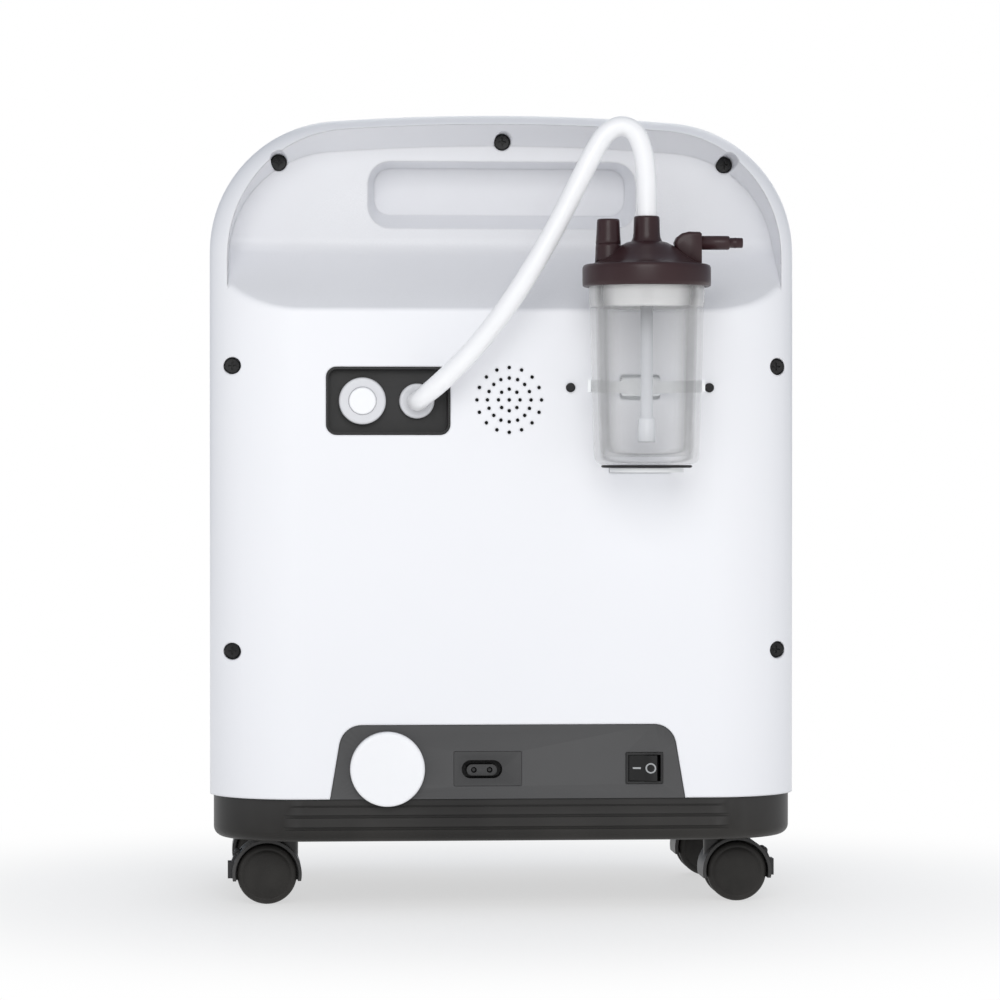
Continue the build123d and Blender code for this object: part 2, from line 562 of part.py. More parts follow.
def make_fork(sx, ax, ay, wx, brake):
    hood = cyl_y(wx, WHEEL_R, HOOD_R, ay - 16.8, ay + 16.8)
    hood &= box(wx - 40, wx + 40, ay - 40, ay + 40, 15.5, 60)
    body = hood + cyl_z(ax, ay, 9.0, 24.0, 43.4)
    # room for the two wheels
    body -= (cyl_y(wx, WHEEL_R, WHEEL_R + 1.0, ay - 30, ay - 7.0)
             + cyl_y(wx, WHEEL_R, WHEEL_R + 1.0, ay + 7.0, ay + 30))
    if brake:
        # opening for the lever, on the outer side
        body -= box(wx + sx * 16.4, wx + sx * 40, ay - 6.5, ay + 6.5, 10, 36.8)
    body += cyl_y(wx, WHEEL_R, 18.6, ay - 7.0, ay + 7.0)
    body -= cyl_y(wx, WHEEL_R, AXLE_R + RUN, ay - 20, ay + 20)
    body -= cyl_z(ax, ay, STEM_R + RUN, 29.8, 50)
    fork = one(body)
    if brake:
        pin_x, pin_z = brake_pin(sx, wx)
        fork = one(fork + cyl_y(pin_x, pin_z, BRAKE_PIN_R, ay - 7.5, ay + 7.5))
    return fork


def make_wheel(side, ay, wx):
    """Wheel with a rounded outer rim and a slight dome on its outside face."""
    wheel = disc_y(wx, WHEEL_R, WHEEL_R, ay + side * WHEEL_Y0, ay + side * WHEEL_Y1,
                   3.4, front=side > 0)
    dome_r, dome_h = 90.0, 1.6
    dome = Pos(wx, ay + side * (WHEEL_Y1 + dome_h - dome_r), WHEEL_R) * Sphere(dome_r)
    wheel += dome & cyl_y(wx, WHEEL_R, 16.0, ay + side * 14, ay + side * 19)
    return one(wheel - cyl_y(wx, WHEEL_R, AXLE_R + RUN, ay, ay + side * 13.0))


def make_brake_lever(sx, ay, wx):
    y0, y1 = ay - 6.0, ay + 6.0
    pin_x, pin_z = brake_pin(sx, wx)
    arm = cyl_y(wx, WHEEL_R, 24.9, y0, y1) - cyl_y(wx, WHEEL_R, 21.6, ay - 9.0, ay + 9.0)
    arm &= box(wx + sx * 18.0, wx + sx * 40, ay - 9, ay + 9, 16.5, 31.5)
    arm += box(wx + sx * 22.6, wx + sx * 26.2, y0, y1, 16.5, 27.5)
    arm += cyl_y(pin_x, pin_z, 2.6, y0, y1)
    arm += box(pin_x, wx + sx * 22.0, y0, y1, 30.0, 34.0)
    return one(arm - cyl_y(pin_x, pin_z, BRAKE_PIN_R + RUN, ay - 10, ay + 10))


def make_stem(ax, ay):
    return one(cyl_z(ax, ay, STEM_R, 30.2, BASE_Z + 14.5) + cyl_z(ax, ay, 7.0, 43.8, BASE_Z - 0.1))


# ---------------------------------------------------------------- front controls
def make_control_panel():
    panel = on_xz(rect(CONTROL_W - 0.4, CONTROL_H - 0.4, 13.8),
                  CONTROL_X, CONTROL_Z, INSIDE_Y, 151.0)
    panel += on_xz(rect(CONTROL_W + 8, CONTROL_H + 8, 16), CONTROL_X, CONTROL_Z, 144.6, INSIDE_Y)
    panel -= on_xz(rect(SCREEN_W + 0.4, SCREEN_H + 0.4, 3), SCREEN_X, SCREEN_Z, 148.6, 160)
    for x, z, r in BUTTONS.values():
        panel -= cyl_y(x, z, r + 0.3, *FRONT_CUT)
    return one(panel)


def make_screen():
    return one(on_xz(rect(SCREEN_W, SCREEN_H, 2.8), SCREEN_X, SCREEN_Z, 148.7, 150.6))


def make_button(x, z, r):
    button = disc_y(x, z, r, 146.0, 152.6, 0.8, front=True)
    return one(button + cyl_y(x, z, r + 1.6, 142.6, 143.6) + cyl_y(x, z, r - 2, 143.0, 147.0))


def make_flow_meter():
    """Block with a vertical bore for the float and a hole for the knob stem."""
    meter = on_xz(rect(FLOW_W - 0.4, FLOW_H - 0.4, 5.8), FLOW_X, FLOW_Z, 138.0, 150.4)
    meter += on_xz(rect(FLOW_W + 8, FLOW_H + 8, 6), FLOW_X, FLOW_Z, 144.0, 146.6)
    meter -= cyl_z(FLOW_X, FLOW_BORE_Y, 4.2, FLOW_Z - 24, FLOW_Z + 48)
    return one(meter - cyl_y(FLOW_X, KNOB_Z, KNOB_STEM_R + RUN, 141, 160))


def make_flow_float():
    return one(Pos(FLOW_X, FLOW_BORE_Y, FLOW_Z - 19.9) * Sphere(3.9))


def make_flow_knob():
    knob = disc_y(FLOW_X, KNOB_Z, 11.5, 151.2, 166.0, 1.5, front=True)
    for x, z in circle_spots(FLOW_X, KNOB_Z, 12.3, 20):
        knob -= cyl_y(x, z, 1.3, 150, 163)
    return one(knob + cyl_y(FLOW_X, KNOB_Z, KNOB_STEM_R, 142.0, 152.0))


# ---------------------------------------------------------------- compressor
def make_compressor_housing():
    """Motor barrel, crankcases with upright cylinders, and a base plate on three feet."""
    y, z = COMP_Y, COMP_Z
    body = cyl_x(y, z, 42, -60, 60)
    for side in SIDES:
        body += cyl_x(y, z, 34, side * 59, side * 94)
        body += cyl_z(side * PISTON_X, y, 28, z + 10, 196)
    body += box(-92, 92, y - 60, y + 60, 89, 92.5)
    for x0, x1 in ((-60, 60), (-90, -66), (66, 90)):
        body += box(x0, x1, y - 20, y + 20, 92, 110)
    body -= cyl_x(y, z, 37, -56, 56)
    for side in SIDES:
        body -= cyl_x(y, z, 27, side * 62, side * 90)
        body -= cyl_z(side * PISTON_X, y, 24.1, z + 4, 200)
    return one(body - cyl_x(y, z, SHAFT_R + RUN, -100, 100))


def make_compressor_rotor():
    """Shaft with motor core, two eccentrics and a bladed wheel at each end."""
    rotor = cyl_x(COMP_Y, COMP_Z, SHAFT_R, -119, 119) + cyl_x(COMP_Y, COMP_Z, 33, -38, 38)
    for side in SIDES:
        rotor += cyl_x(COMP_Y, COMP_Z + 3.0, 10, side * 71, side * 81)
        x0, x1 = side * 106, side * 117
        wheel = cyl_x(COMP_Y, COMP_Z, 12, x0, x1)
        for i in range(8):
            wheel += Pos(0, COMP_Y, COMP_Z) * Rot(45 * i, 0, 0) * box(x0, x1, -0.8, 0.8, 8, 29)
        rotor += wheel
    return one(rotor)


def make_piston(x):
    piston = cyl_z(x, COMP_Y, 23.9, 180, 186) + cyl_z(x, COMP_Y, 3.6, COMP_Z + 14, 181)
    piston += cyl_x(COMP_Y, COMP_Z, 17, x - 4, x + 4)
    return one(piston - cyl_x(COMP_Y, COMP_Z, 13.4, x - 5, x + 5))


def make_head(side):
    """Finned cylinder head with an outlet stub pointing outwards."""
    x = side * PISTON_X
    head = box(x - 31, x + 31, COMP_Y - 31, COMP_Y + 31, 196.1, 212)
    head = fillet(head.edges().filter_by(Axis.Z), 6)
    head -= cyl_z(x, COMP_Y, 22, 195, 206)
    head += cyl_x(COMP_Y - 9, 205, 3.6, side * 100, side * 112)
    for i in range(5):
        head -= box(x - 24 + 10 * i, x - 20 + 10 * i, COMP_Y - 40, COMP_Y + 40, 209, 214)
    return one(head)


def make_spring(sx, sy):
    helix = Helix(pitch=7.2, height=32.0, radius=8.0)
    wire = Plane(origin=helix @ 0, z_dir=helix % 0) * Circle(1.6)
    coil = sweep(wire, helix, is_frenet=True)
    return one(Pos(sx * SPRING_X, COMP_Y + sy * SPRING_DY, BASE_Z + 8.6) * coil)


# ---------------------------------------------------------------- fan above the compressor
def make_fan_frame():
    frame = box(-60, 60, COMP_Y - 60, COMP_Y + 60, FAN_Z, FAN_Z + 25)
    frame -= cyl_z(0, COMP_Y, 56.5, FAN_Z - 1, FAN_Z + 30)
    frame += cyl_z(0, COMP_Y, 18, FAN_Z + 21, FAN_Z + 25)
    strut = box(10, 60, -3, 3, FAN_Z + 22, FAN_Z + 25)
    for i in range(4):
        frame += Pos(0, COMP_Y, 0) * Rot(0, 0, 90 * i + 45) * strut
    return one(frame - cyl_z(0, COMP_Y, FAN_SHAFT_R + RUN, FAN_Z + 10, FAN_Z + 23.5))


def make_fan_rotor():
    fan = cyl_z(0, COMP_Y, 19, FAN_Z + 2, FAN_Z + 18) - cyl_z(0, COMP_Y, 17, FAN_Z, FAN_Z + 4)
    fan += cyl_z(0, COMP_Y, FAN_SHAFT_R, FAN_Z + 10, FAN_Z + 23)
    blade = Rot(32, 0, 0) * box(16, 54, -11, 11, -1, 1)
    for i in range(7):
        fan += Pos(0, COMP_Y, FAN_Z + 10) * Rot(0, 0, 360 / 7 * i) * blade
    return one(fan & cyl_z(0, COMP_Y, 54.5, FAN_Z + 1.5, FAN_Z + 30))


# ---------------------------------------------------------------- shelf and what stands on it
def make_support_frame():
    """Sheet shelf on two side legs with inturned feet."""
    frame = Pos(0, 26, 254) * extrude(rect(370, 216, 40), amount=2)
    frame -= cyl_z(0, COMP_Y, 55, 250, 260)
    for side in SIDES:
        frame -= cyl_z(side * 150, -60, 6, 250, 260)
    for side in SIDES:
        frame += box(side * 183, side * 185, -30, 82, 50.2, 256)
        frame += box(side * 165, side * 185, -30, 82, 50.2, 52.2)
    return one(frame)


def make_sieve_bed(x):
    bed = cyl_z(x, BED_Y, 36, 258, 480)
    for r, z0, z1 in ((39.5, 256.2, 270), (39.5, 470, 484), (5, 484, 494)):
        bed += cyl_z(x, BED_Y, r, z0, z1)
    return one(bed)


def make_oxygen_tank():
    tank = cyl_z(0, TANK_Y, 30, 256.4, 440)
    tank = fillet(tank.edges().filter_by(GeomType.CIRCLE), 8)
    return one(tank + cyl_z(0, TANK_Y, 5, 438, 450))


def make_valve_block():
    block = box(-38, 38, 22, 58, 330, 372)
    for side in SIDES:
        block += cyl_z(side * VALVE_PORT_X, VALVE_PORT_Y, 13, 371, 408)
    return one(block + box(-6, 6, 18, 30, 256.3, 335))


def make_control_board():
    components = [      # x0, x1, z0, z1, height above the board's front face
        (-76, -44, 340, 376, 14), (-30, 6, 346, 372, 6), (18, 44, 330, 372, 18),
        (-70, -30, 282, 318, 22), (-10, 20, 280, 310, 9), (30, 52, 280, 312, 12),
    ]
    face_y = -70.4
    board = box(-84, 60, -72, face_y, 268, 384)
    for x0, x1, z0, z1, height in components:
        board += box(x0, x1, face_y - 0.1, face_y + height, z0, z1)
    return one(board + box(-84, 60, -72, -60, 258, 268.5))


def make_power_supply():
    supply = box(-80, 40, -44, 6, 258, 262) + box(-72, 32, -40, 2, 261, 304)
    supply -= [box(-66 + 10 * i, -62 + 10 * i, -50, 20, 290, 310) for i in range(10)]
    return one(supply)


def make_speaker():
    speaker = cyl_y(SPEAKER_X, SPEAKER_Z, 24, -146.6, -143)
    speaker += cyl_y(SPEAKER_X, SPEAKER_Z, 19, -143, -136)
    speaker += cyl_y(SPEAKER_X, SPEAKER_Z, 12, -136, -128)
    return one(speaker - cyl_y(SPEAKER_X, SPEAKER_Z, 21.6, -147, -144.6))


def make_heat_exchanger():
    """Serpentine of six level runs."""
    points = []
    for i in range(6):
        start = -82 if i % 2 == 0 else 82
        points += [(start, -74, 150 + 14 * i), (-start, -74, 150 + 14 * i)]
    return one(rod(FilletPolyline(*points, radius=6.5), 4.0))


def make_internal_hoses():
    routes = [          # bend radius, points
        # left head to the heat exchanger, and on to the valve block
        (10, [(-112.2, 6, 205), (-136, 6, 205), (-136, -74, 220), (-82.3, -74, 220)]),
        (9, [(-82.3, -74, 150), (-150, -74, 150), (-150, -60, 180), (-150, -60, 310),
             (-62, 27, 351), (-38.2, 27, 351)]),
        # right head to the valve block
        (9, [(112.2, 6, 205), (150, 6, 205), (150, -60, 215), (150, -60, 310),
             (62, 27, 351), (38.2, 27, 351)]),
    ]
    for side in SIDES:  # sieve beds to the valve block
        bed_x, port_x = side * BED_X, side * VALVE_PORT_X
        routes.append((9, [(bed_x, BED_Y, 494.2), (bed_x, BED_Y, 506),
                           (port_x, VALVE_PORT_Y, 506), (port_x, VALVE_PORT_Y, 408.3)]))
    # oxygen port to the tank
    routes.append((9, [(OXYGEN_X, -125.8, PORT_Z), (OXYGEN_X, -103, PORT_Z), (-100, -84, 396),
                       (-100, -20, 420), (0, TANK_Y, 474), (0, TANK_Y, 450.3)]))
    return [one(rod(FilletPolyline(*points, radius=bend), 3.6)) for bend, points in routes]


# ---------------------------------------------------------------- build and write
skin, shell = cover_shell()
save("rear_cover", *make_rear_cover(skin, shell))
save("front_cover", make_front_cover(shell))
save("cover_screws", *[make_cover_screw(x, z, seat, head_y, cross_y)
                       for spots, seat, head_y, cross_y, *_ in SCREW_SETS for x, z in spots])
save("base_tray", make_base_tray())

save("service_panel", make_service_panel())
save("filter_cap", make_filter_cap())
save("intake_filter", make_intake_filter())
save("mains_inlet", make_mains_inlet())
save("switch_frame", make_switch_frame())
save("switch_rocker", make_switch_rocker())
save("port_tray", make_port_tray())
save("nebuliser_plug", make_nebuliser_plug())
save("outlet_ports", make_nebuliser_port(), make_oxygen_port())

lid = make_bottle_lid()
save("bottle_lid", *lid)
save("relief_valve", make_relief_valve())
save("outlet_elbow", make_outlet_elbow(lid[0]))
save("bottle_jar", make_bottle_jar())
save("bubbler_tube", make_bubbler_tube())
save("jar_pad", make_jar_pad())
save("bottle_bracket", make_bottle_bracket())
save("bracket_screws", *[make_bracket_screw(x, z) for x, z in BRACKET_SCREWS])
save("oxygen_hose", make_oxygen_hose())

for name, sx, sy, brake in CASTERS:
    ax, ay = sx * CASTER_X, sy * CASTER_Y
    wx = ax + sx * CASTER_TRAIL
    save(f"{name}_caster_fork", make_fork(sx, ax, ay, wx, brake))
    save(f"{name}_caster_axle", one(cyl_y(wx, WHEEL_R, AXLE_R, ay - 12.5, ay + 12.5)))
    save(f"{name}_caster_wheels", *[make_wheel(side, ay, wx) for side in SIDES])
    if brake:
        save(f"{name}_brake_lever", make_brake_lever(sx, ay, wx))
save("caster_stems", *[make_stem(sx * CASTER_X, sy * CASTER_Y) for _, sx, sy, _ in CASTERS])

save("control_panel", make_control_panel())
save("display_screen", make_screen())
for name, (x, z, r) in BUTTONS.items():
    save(name, make_button(x, z, r))
save("flow_meter", make_flow_meter())
save("flow_float", make_flow_float())
save("flow_knob", make_flow_knob())

save("compressor_housing", make_compressor_housing())
save("compressor_rotor", make_compressor_rotor())
save("compressor_pistons", *[make_piston(side * PISTON_X) for side in SIDES])
save("compressor_heads", *[make_head(side) for side in SIDES])
save("compressor_springs", *[make_spring(sx, sy) for sx, sy in CORNERS])
save("fan_frame", make_fan_frame())
save("fan_rotor", make_fan_rotor())
save("support_frame", make_support_frame())
save("sieve_beds", *[make_sieve_bed(side * BED_X) for side in SIDES])
save("oxygen_tank", make_oxygen_tank())
save("valve_block", make_valve_block())
save("control_board", make_control_board())
save("power_supply", make_power_supply())
save("speaker", make_speaker())
save("heat_exchanger", make_heat_exchanger())
save("internal_hoses", *make_internal_hoses())
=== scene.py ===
"""Wheeled oxygen concentrator with a humidifier bottle.

The floor is z = 0 and +Z is up. The screen, buttons and flow meter face +Y; the humidifier,
switch and intake filter are on the -Y side, which the camera looks at. Shapes are given in
millimetres in the design frame, and mm() turns them into scene metres.
"""
import json
import math

import bmesh
import bpy
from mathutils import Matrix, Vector, noise


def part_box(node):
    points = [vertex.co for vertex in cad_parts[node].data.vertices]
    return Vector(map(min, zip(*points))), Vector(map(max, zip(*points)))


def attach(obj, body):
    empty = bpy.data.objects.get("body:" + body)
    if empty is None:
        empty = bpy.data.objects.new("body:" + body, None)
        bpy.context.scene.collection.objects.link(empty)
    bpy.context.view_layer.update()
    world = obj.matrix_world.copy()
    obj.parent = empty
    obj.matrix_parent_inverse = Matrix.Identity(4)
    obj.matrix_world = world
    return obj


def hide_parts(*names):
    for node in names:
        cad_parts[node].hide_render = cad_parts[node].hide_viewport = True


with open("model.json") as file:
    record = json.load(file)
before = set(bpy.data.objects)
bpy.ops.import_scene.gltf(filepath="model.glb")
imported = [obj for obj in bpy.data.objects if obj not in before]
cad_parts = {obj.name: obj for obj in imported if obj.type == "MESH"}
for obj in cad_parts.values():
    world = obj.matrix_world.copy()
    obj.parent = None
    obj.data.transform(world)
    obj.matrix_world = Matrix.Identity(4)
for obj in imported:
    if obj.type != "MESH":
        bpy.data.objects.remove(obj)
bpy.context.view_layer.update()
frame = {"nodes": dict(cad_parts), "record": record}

NODES = frame["nodes"]
SCENE = bpy.context.scene

DESIGN_SHIFT_Y = 33.85  # mm, design frame to scene frame

# Driving places, mm in the design frame
BOTTLE_X, BOTTLE_Y = 87.0, -192.0    # upright axis of the humidifier bottle
RELIEF_X = BOTTLE_X - 25             # upright axis of the relief valve
OUTLET_Z = 437.5                     # level axis of the lid's side outlet
FILTER_X, FILTER_Z = -79.6, 95.1
ROCKER_X, ROCKER_Z = 90.1, 93.5
ROCKER_BASE_Y = -142.5
SCREEN_X, SCREEN_Z = -28.0, 398.0


def mm(x, y, z):
    """Scene point in metres from design millimetres."""
    return Vector((x / 1000.0, (y + DESIGN_SHIFT_Y) / 1000.0, z / 1000.0))


# ------------------------------------------------------------------ shader helpers
BLACK, WHITE = (0, 0, 0), (1, 1, 1)
DUST_RGB = (150, 146, 140)
DUST_TOP = 0.12       # m, height where floor dust ends
FROST_FADE = 0.0015   # m, height over which frosting sets in


def linear(rgb):
    """Linear colour from 0..255 sRGB."""
    return tuple(
        (v / 255.0) / 12.92 if v / 255.0 <= 0.04045 else (((v / 255.0) + 0.055) / 1.055) ** 2.4
        for v in rgb
    )


def wire(tree, node, inputs):
    """Link each input given as a socket; set any other value."""
    for key, value in inputs.items():
        if isinstance(value, bpy.types.NodeSocket):
            tree.links.new(value, node.inputs[key])
        else:
            node.inputs[key].default_value = value


def add(tree, kind, inputs=None, **settings):
    """New shader node with its settings and inputs."""
    node = tree.nodes.new("ShaderNode" + kind)
    for name, value in settings.items():
        setattr(node, name, value)
    wire(tree, node, inputs or {})
    return node


def ramp(tree, factor, stops):
    """Colour ramp through (position, linear colour) stops."""
    node = add(tree, "ValToRGB", {"Fac": factor})
    elements = node.color_ramp.elements
    for element, (position, colour) in zip(elements, (stops[0], stops[-1])):
        element.position = position
        element.color = (*colour, 1)
    for position, colour in stops[1:-1]:
        elements.new(position).color = (*colour, 1)
    return node.outputs["Color"]


def calculate(tree, operation, first, second):
    return add(tree, "Math", {0: first, 1: second}, operation=operation).outputs[0]


def axis_value(tree, vector, axis):
    return add(tree, "SeparateXYZ", {0: vector}).outputs[axis]


def tint(tree, colour, rgb, factor):
    """Mix a colour towards an sRGB one."""
    inputs = {"Factor": factor, "A": colour, "B": (*linear(rgb), 1)}
    return add(tree, "Mix", inputs, data_type="RGBA").outputs["Result"]


def skin_colour(tree, coords, patches, rgb, vary, wear, wear_rgb, dirt, painted_shade, painted_shade_reach):
    """Patchy base colour, worn on edges, dusty near the floor, with painted shade darkening the
    hollows.
    """
    base = linear(rgb)
    dark = tuple(v * (1 - vary) for v in base)
    light = tuple(min(1.0, v * (1 + vary)) for v in base)
    colour = ramp(tree, patches, [(0.3, dark), (0.7, light)])
    if wear > 0:
        pointiness = add(tree, "NewGeometry").outputs["Pointiness"]
        edges = ramp(tree, pointiness, [(0.53, BLACK), (0.62, WHITE)])
        amount = calculate(tree, "MULTIPLY", edges, wear)
        amount = calculate(tree, "MULTIPLY", amount, patches)
        colour = tint(tree, colour, wear_rgb, amount)
    if dirt > 0:
        low = add(tree, "MapRange", {
            "Value": axis_value(tree, coords, "Z"),
            "From Min": 0.0, "From Max": DUST_TOP,
            "To Min": dirt, "To Max": 0.0,
        }).outputs[0]
        colour = tint(tree, colour, DUST_RGB, calculate(tree, "MULTIPLY", low, patches))
    # painted shade: ambient occlusion darkens the colour in hollows and recesses, where shade
    # falls
    if painted_shade > 0:
        openness = add(tree, "AmbientOcclusion", {"Distance": painted_shade_reach},
                       samples=8, only_local=True).outputs["AO"]
        painted_shade_scale = ramp(tree, openness, [
            (0.35, (1 - 0.45 * painted_shade,) * 3),
            (0.86, (1 - painted_shade,) * 3),
            (0.99, WHITE),
        ])
        colour = add(tree, "VectorMath", {0: colour, "Scale": painted_shade_scale},
                     operation="SCALE").outputs[0]
    return colour


def clear_wall(tree, coords, wall, frost):
    """Colour and alpha of a thick clear wall by viewing angle, frosted from a height up; the
    colour by angle is painted light, dark bands for refraction shade and a light rim for a
    highlight.
    """
    facing = add(tree, "LayerWeight", {"Blend": 0.5}).outputs["Facing"]
    colour = ramp(tree, facing, [(place, linear((grey,) * 3)) for place, grey, _ in wall])
    alpha = ramp(tree, facing, [(place, (opacity,) * 3) for place, _, opacity in wall])
    frost_z, frost_alpha = frost
    frosting = add(tree, "MapRange", {
        "Value": axis_value(tree, coords, "Z"),
        "From Min": frost_z, "From Max": frost_z + FROST_FADE,
        "To Max": frost_alpha,
    }).outputs[0]
    return colour, calculate(tree, "MAXIMUM", alpha, frosting)


MATERIALS = {}


def material(name, rgb=None, *, rough, vary_scale, bump, bump_scale, vary=0.0,
             rough_spread=0.08, metal=0.0, wear=0.0, wear_rgb=(190, 190, 190), dirt=0.0,
             painted_shade=0.0, painted_shade_reach=0.16, coat=0.0, spec=0.5, ior=1.46, trans=0.0, sss=0.0,
             bevel=0.0, wave_scale=0.0, alpha=1.0, wall=None, frost=None,
             solid_below_y=None):
    """Make a procedural material and file it in MATERIALS.

    vary, vary_scale: strength and scale of the colour patches, which also drive roughness
    rough_spread: how far roughness strays either way
    bump, bump_scale, wave_scale: fine relief, with waves added where wave_scale is set
    wear, dirt, painted shade: strength of edge wear, floor dust and the painted shade that
    ambient occlusion puts in hollows
    painted shade reach, bevel: metres
    wall: (facing, sRGB grey, alpha) stops of a clear wall, which replace rgb; the greys paint
    refraction shade and a rim highlight
    frost: height in metres and least alpha above it
    solid_below_y: scene Y in metres; the material is opaque at lesser Y
    """
    made = bpy.data.materials.new(name)
    made.use_nodes = True
    tree = made.node_tree
    tree.nodes.clear()
    output = add(tree, "OutputMaterial")
    surface = add(tree, "BsdfPrincipled")
    wire(tree, output, {0: surface.outputs[0]})
    coords = add(tree, "TexCoord").outputs["Object"]
    patches = add(tree, "TexNoise",
                  {"Scale": vary_scale, "Detail": 5.0, "Vector": coords}).outputs["Fac"]
    relief = add(tree, "TexNoise",
                 {"Scale": bump_scale, "Detail": 3.0, "Vector": coords}).outputs["Fac"]
    roughness = add(tree, "MapRange", {
        "Value": patches,
        "To Min": max(0.02, rough - rough_spread),
        "To Max": min(1.0, rough + rough_spread),
    }).outputs[0]
    wire(tree, surface, {
        "Roughness": roughness,
        "Metallic": metal,
        "IOR": ior,
        "Specular IOR Level": spec,
        "Coat Weight": coat,
        "Coat Roughness": 0.12,
        "Transmission Weight": trans,
        "Alpha": alpha,
    })
    if wall:
        colour, wall_alpha = clear_wall(tree, coords, wall, frost)
        wire(tree, surface, {"Alpha": wall_alpha})
    else:
        colour = skin_colour(tree, coords, patches, rgb, vary, wear, wear_rgb, dirt,
                             painted_shade, painted_shade_reach)
    wire(tree, surface, {"Base Color": colour})
    if solid_below_y is not None:
        position = add(tree, "NewGeometry").outputs["Position"]
        solid = calculate(tree, "LESS_THAN", axis_value(tree, position, "Y"), solid_below_y)
        wire(tree, surface, {"Alpha": calculate(tree, "MAXIMUM", solid, alpha)})
    if sss > 0:
        wire(tree, surface, {
            "Subsurface Weight": sss,
            "Subsurface Radius": (0.004, 0.004, 0.004),
            "Subsurface Scale": 1.0,
        })
    if wave_scale > 0:
        waves = add(tree, "TexWave",
                    {"Scale": wave_scale, "Distortion": 1.5, "Vector": coords}).outputs["Fac"]
        relief = calculate(tree, "ADD", relief, waves)
    bumped = add(tree, "Bump", {"Strength": bump, "Distance": 0.0004, "Height": relief})
    if bevel > 0:
        rounded = add(tree, "Bevel", {"Radius": bevel}, samples=4)
        wire(tree, bumped, {"Normal": rounded.outputs[0]})
    wire(tree, surface, {"Normal": bumped.outputs[0]})
    MATERIALS[name] = made


# ------------------------------------------------------------------ materials
# the occlusion term paints shade into the rear recess and the other hollows of the white covers
material("cover_white", (240, 241, 245), rough=0.38, vary=0.012, vary_scale=4, bump=0.05,
         bump_scale=1300, bevel=0.0022, wear=0.05, wear_rgb=(225, 226, 228), dirt=0.04,
         painted_shade=0.17)
material("base_dark", (6, 6, 7), rough=0.42, vary=0.12, vary_scale=9, bump=0.03,
         bump_scale=900, coat=0.03, spec=0.22, bevel=0.0006, wear=0.25,
         wear_rgb=(110, 110, 112), dirt=0.25)
material("panel_grey", (66, 66, 67), rough=0.55, vary=0.05, vary_scale=10, bump=0.12,
         bump_scale=1500, bevel=0.0006, wear=0.2, wear_rgb=(120, 120, 120))
material("cap_white", (244, 245, 248), rough=0.36, vary=0.012, vary_scale=20, bump=0.04,
         bump_scale=1500, bevel=0.0004, sss=0.05)
material("black_plastic", (14, 14, 15), rough=0.42, vary=0.12, vary_scale=14, bump=0.1,
         bump_scale=1700, bevel=0.0004, wear=0.25, wear_rgb=(70, 70, 72))
material("rocker_black", (6, 6, 7), rough=0.28, spec=0.35, vary=0.1, vary_scale=30, bump=0.03,
         bump_scale=1500, coat=0.1, bevel=0.0003, wear=0.2, wear_rgb=(80, 80, 80))
material("filter_felt", (222, 220, 210), rough=0.95, vary=0.1, vary_scale=60, bump=0.9,
         bump_scale=900)
material("lid_brown", (50, 30, 33), rough=0.36, spec=0.35, vary=0.08, vary_scale=24,
         bump=0.05, bump_scale=1200, coat=0.05, bevel=0.0003, wear=0.15,
         wear_rgb=(120, 95, 95))
# clear seen square on; the grey band a little way in from the rim is painted shade for
# refraction in the thick wall, and the near-white rim is a painted highlight
material("jar_clear", rough=0.08, rough_spread=0.03, vary_scale=20, bump=0.02,
         bump_scale=250, trans=0.15, ior=1.3, alpha=0.06, frost=(0.3945, 0.5),
         wall=((0.0, 246, 0.02), (0.16, 235, 0.05), (0.42, 140, 0.36), (0.58, 228, 0.2),
               (1.0, 252, 0.3)))
material("tube_clear", (222, 224, 228), rough=0.2, vary=0.02, vary_scale=30, bump=0.03,
         bump_scale=700, ior=1.3)
material("hose_white", (246, 247, 250), rough=0.3, vary=0.01, vary_scale=20, bump=0.05,
         bump_scale=500, sss=0.25, coat=0.1)
material("bracket_clear", (246, 248, 250), rough=0.2, vary=0.01, vary_scale=15, bump=0.03,
         bump_scale=900, ior=1.3)
material("pad_rubber", (26, 26, 27), rough=0.75, vary=0.15, vary_scale=40, bump=0.3,
         bump_scale=1500)
material("screw_black", (18, 18, 19), rough=0.35, metal=0.3, vary=0.15, vary_scale=60,
         bump=0.08, bump_scale=1800, bevel=0.0003, wear=0.5, wear_rgb=(120, 120, 120))
material("screen_glass", (12, 16, 22), rough=0.08, rough_spread=0.04, vary=0.15,
         vary_scale=12, bump=0.015, bump_scale=300, coat=0.6)
material("button_grey", (150, 154, 160), rough=0.6, vary=0.06, vary_scale=50, bump=0.2,
         bump_scale=1500, bevel=0.0004)
# clear block on an opaque backing
material("meter_clear", (240, 243, 246), rough=0.08, rough_spread=0.03, vary=0.01,
         vary_scale=20, bump=0.02, bump_scale=250, ior=1.35, alpha=0.16,
         solid_below_y=0.1734, bevel=0.0003)
material("float_steel", (190, 190, 192), rough=0.25, metal=1.0, vary=0.06, vary_scale=60,
         bump=0.05, bump_scale=1500, wear=0.2)
material("cast_metal", (172, 173, 176), rough=0.5, metal=0.9, vary=0.08, vary_scale=25,
         bump=0.45, bump_scale=900, bevel=0.0008, wear=0.3, wear_rgb=(225, 225, 225))
material("vessel_metal", (198, 200, 203), rough=0.3, metal=1.0, vary=0.05, vary_scale=12,
         bump=0.05, bump_scale=600, wave_scale=60, bevel=0.0005)
material("frame_steel", (160, 162, 166), rough=0.4, metal=1.0, vary=0.08, vary_scale=18,
         bump=0.12, bump_scale=800, bevel=0.0003, wear=0.2)
material("copper_tube", (190, 118, 82), rough=0.3, metal=1.0, vary=0.15, vary_scale=30,
         bump=0.08, bump_scale=700)
material("board_green", (22, 92, 52), rough=0.4, vary=0.2, vary_scale=60, bump=0.15,
         bump_scale=500, coat=0.2, bevel=0.0002)
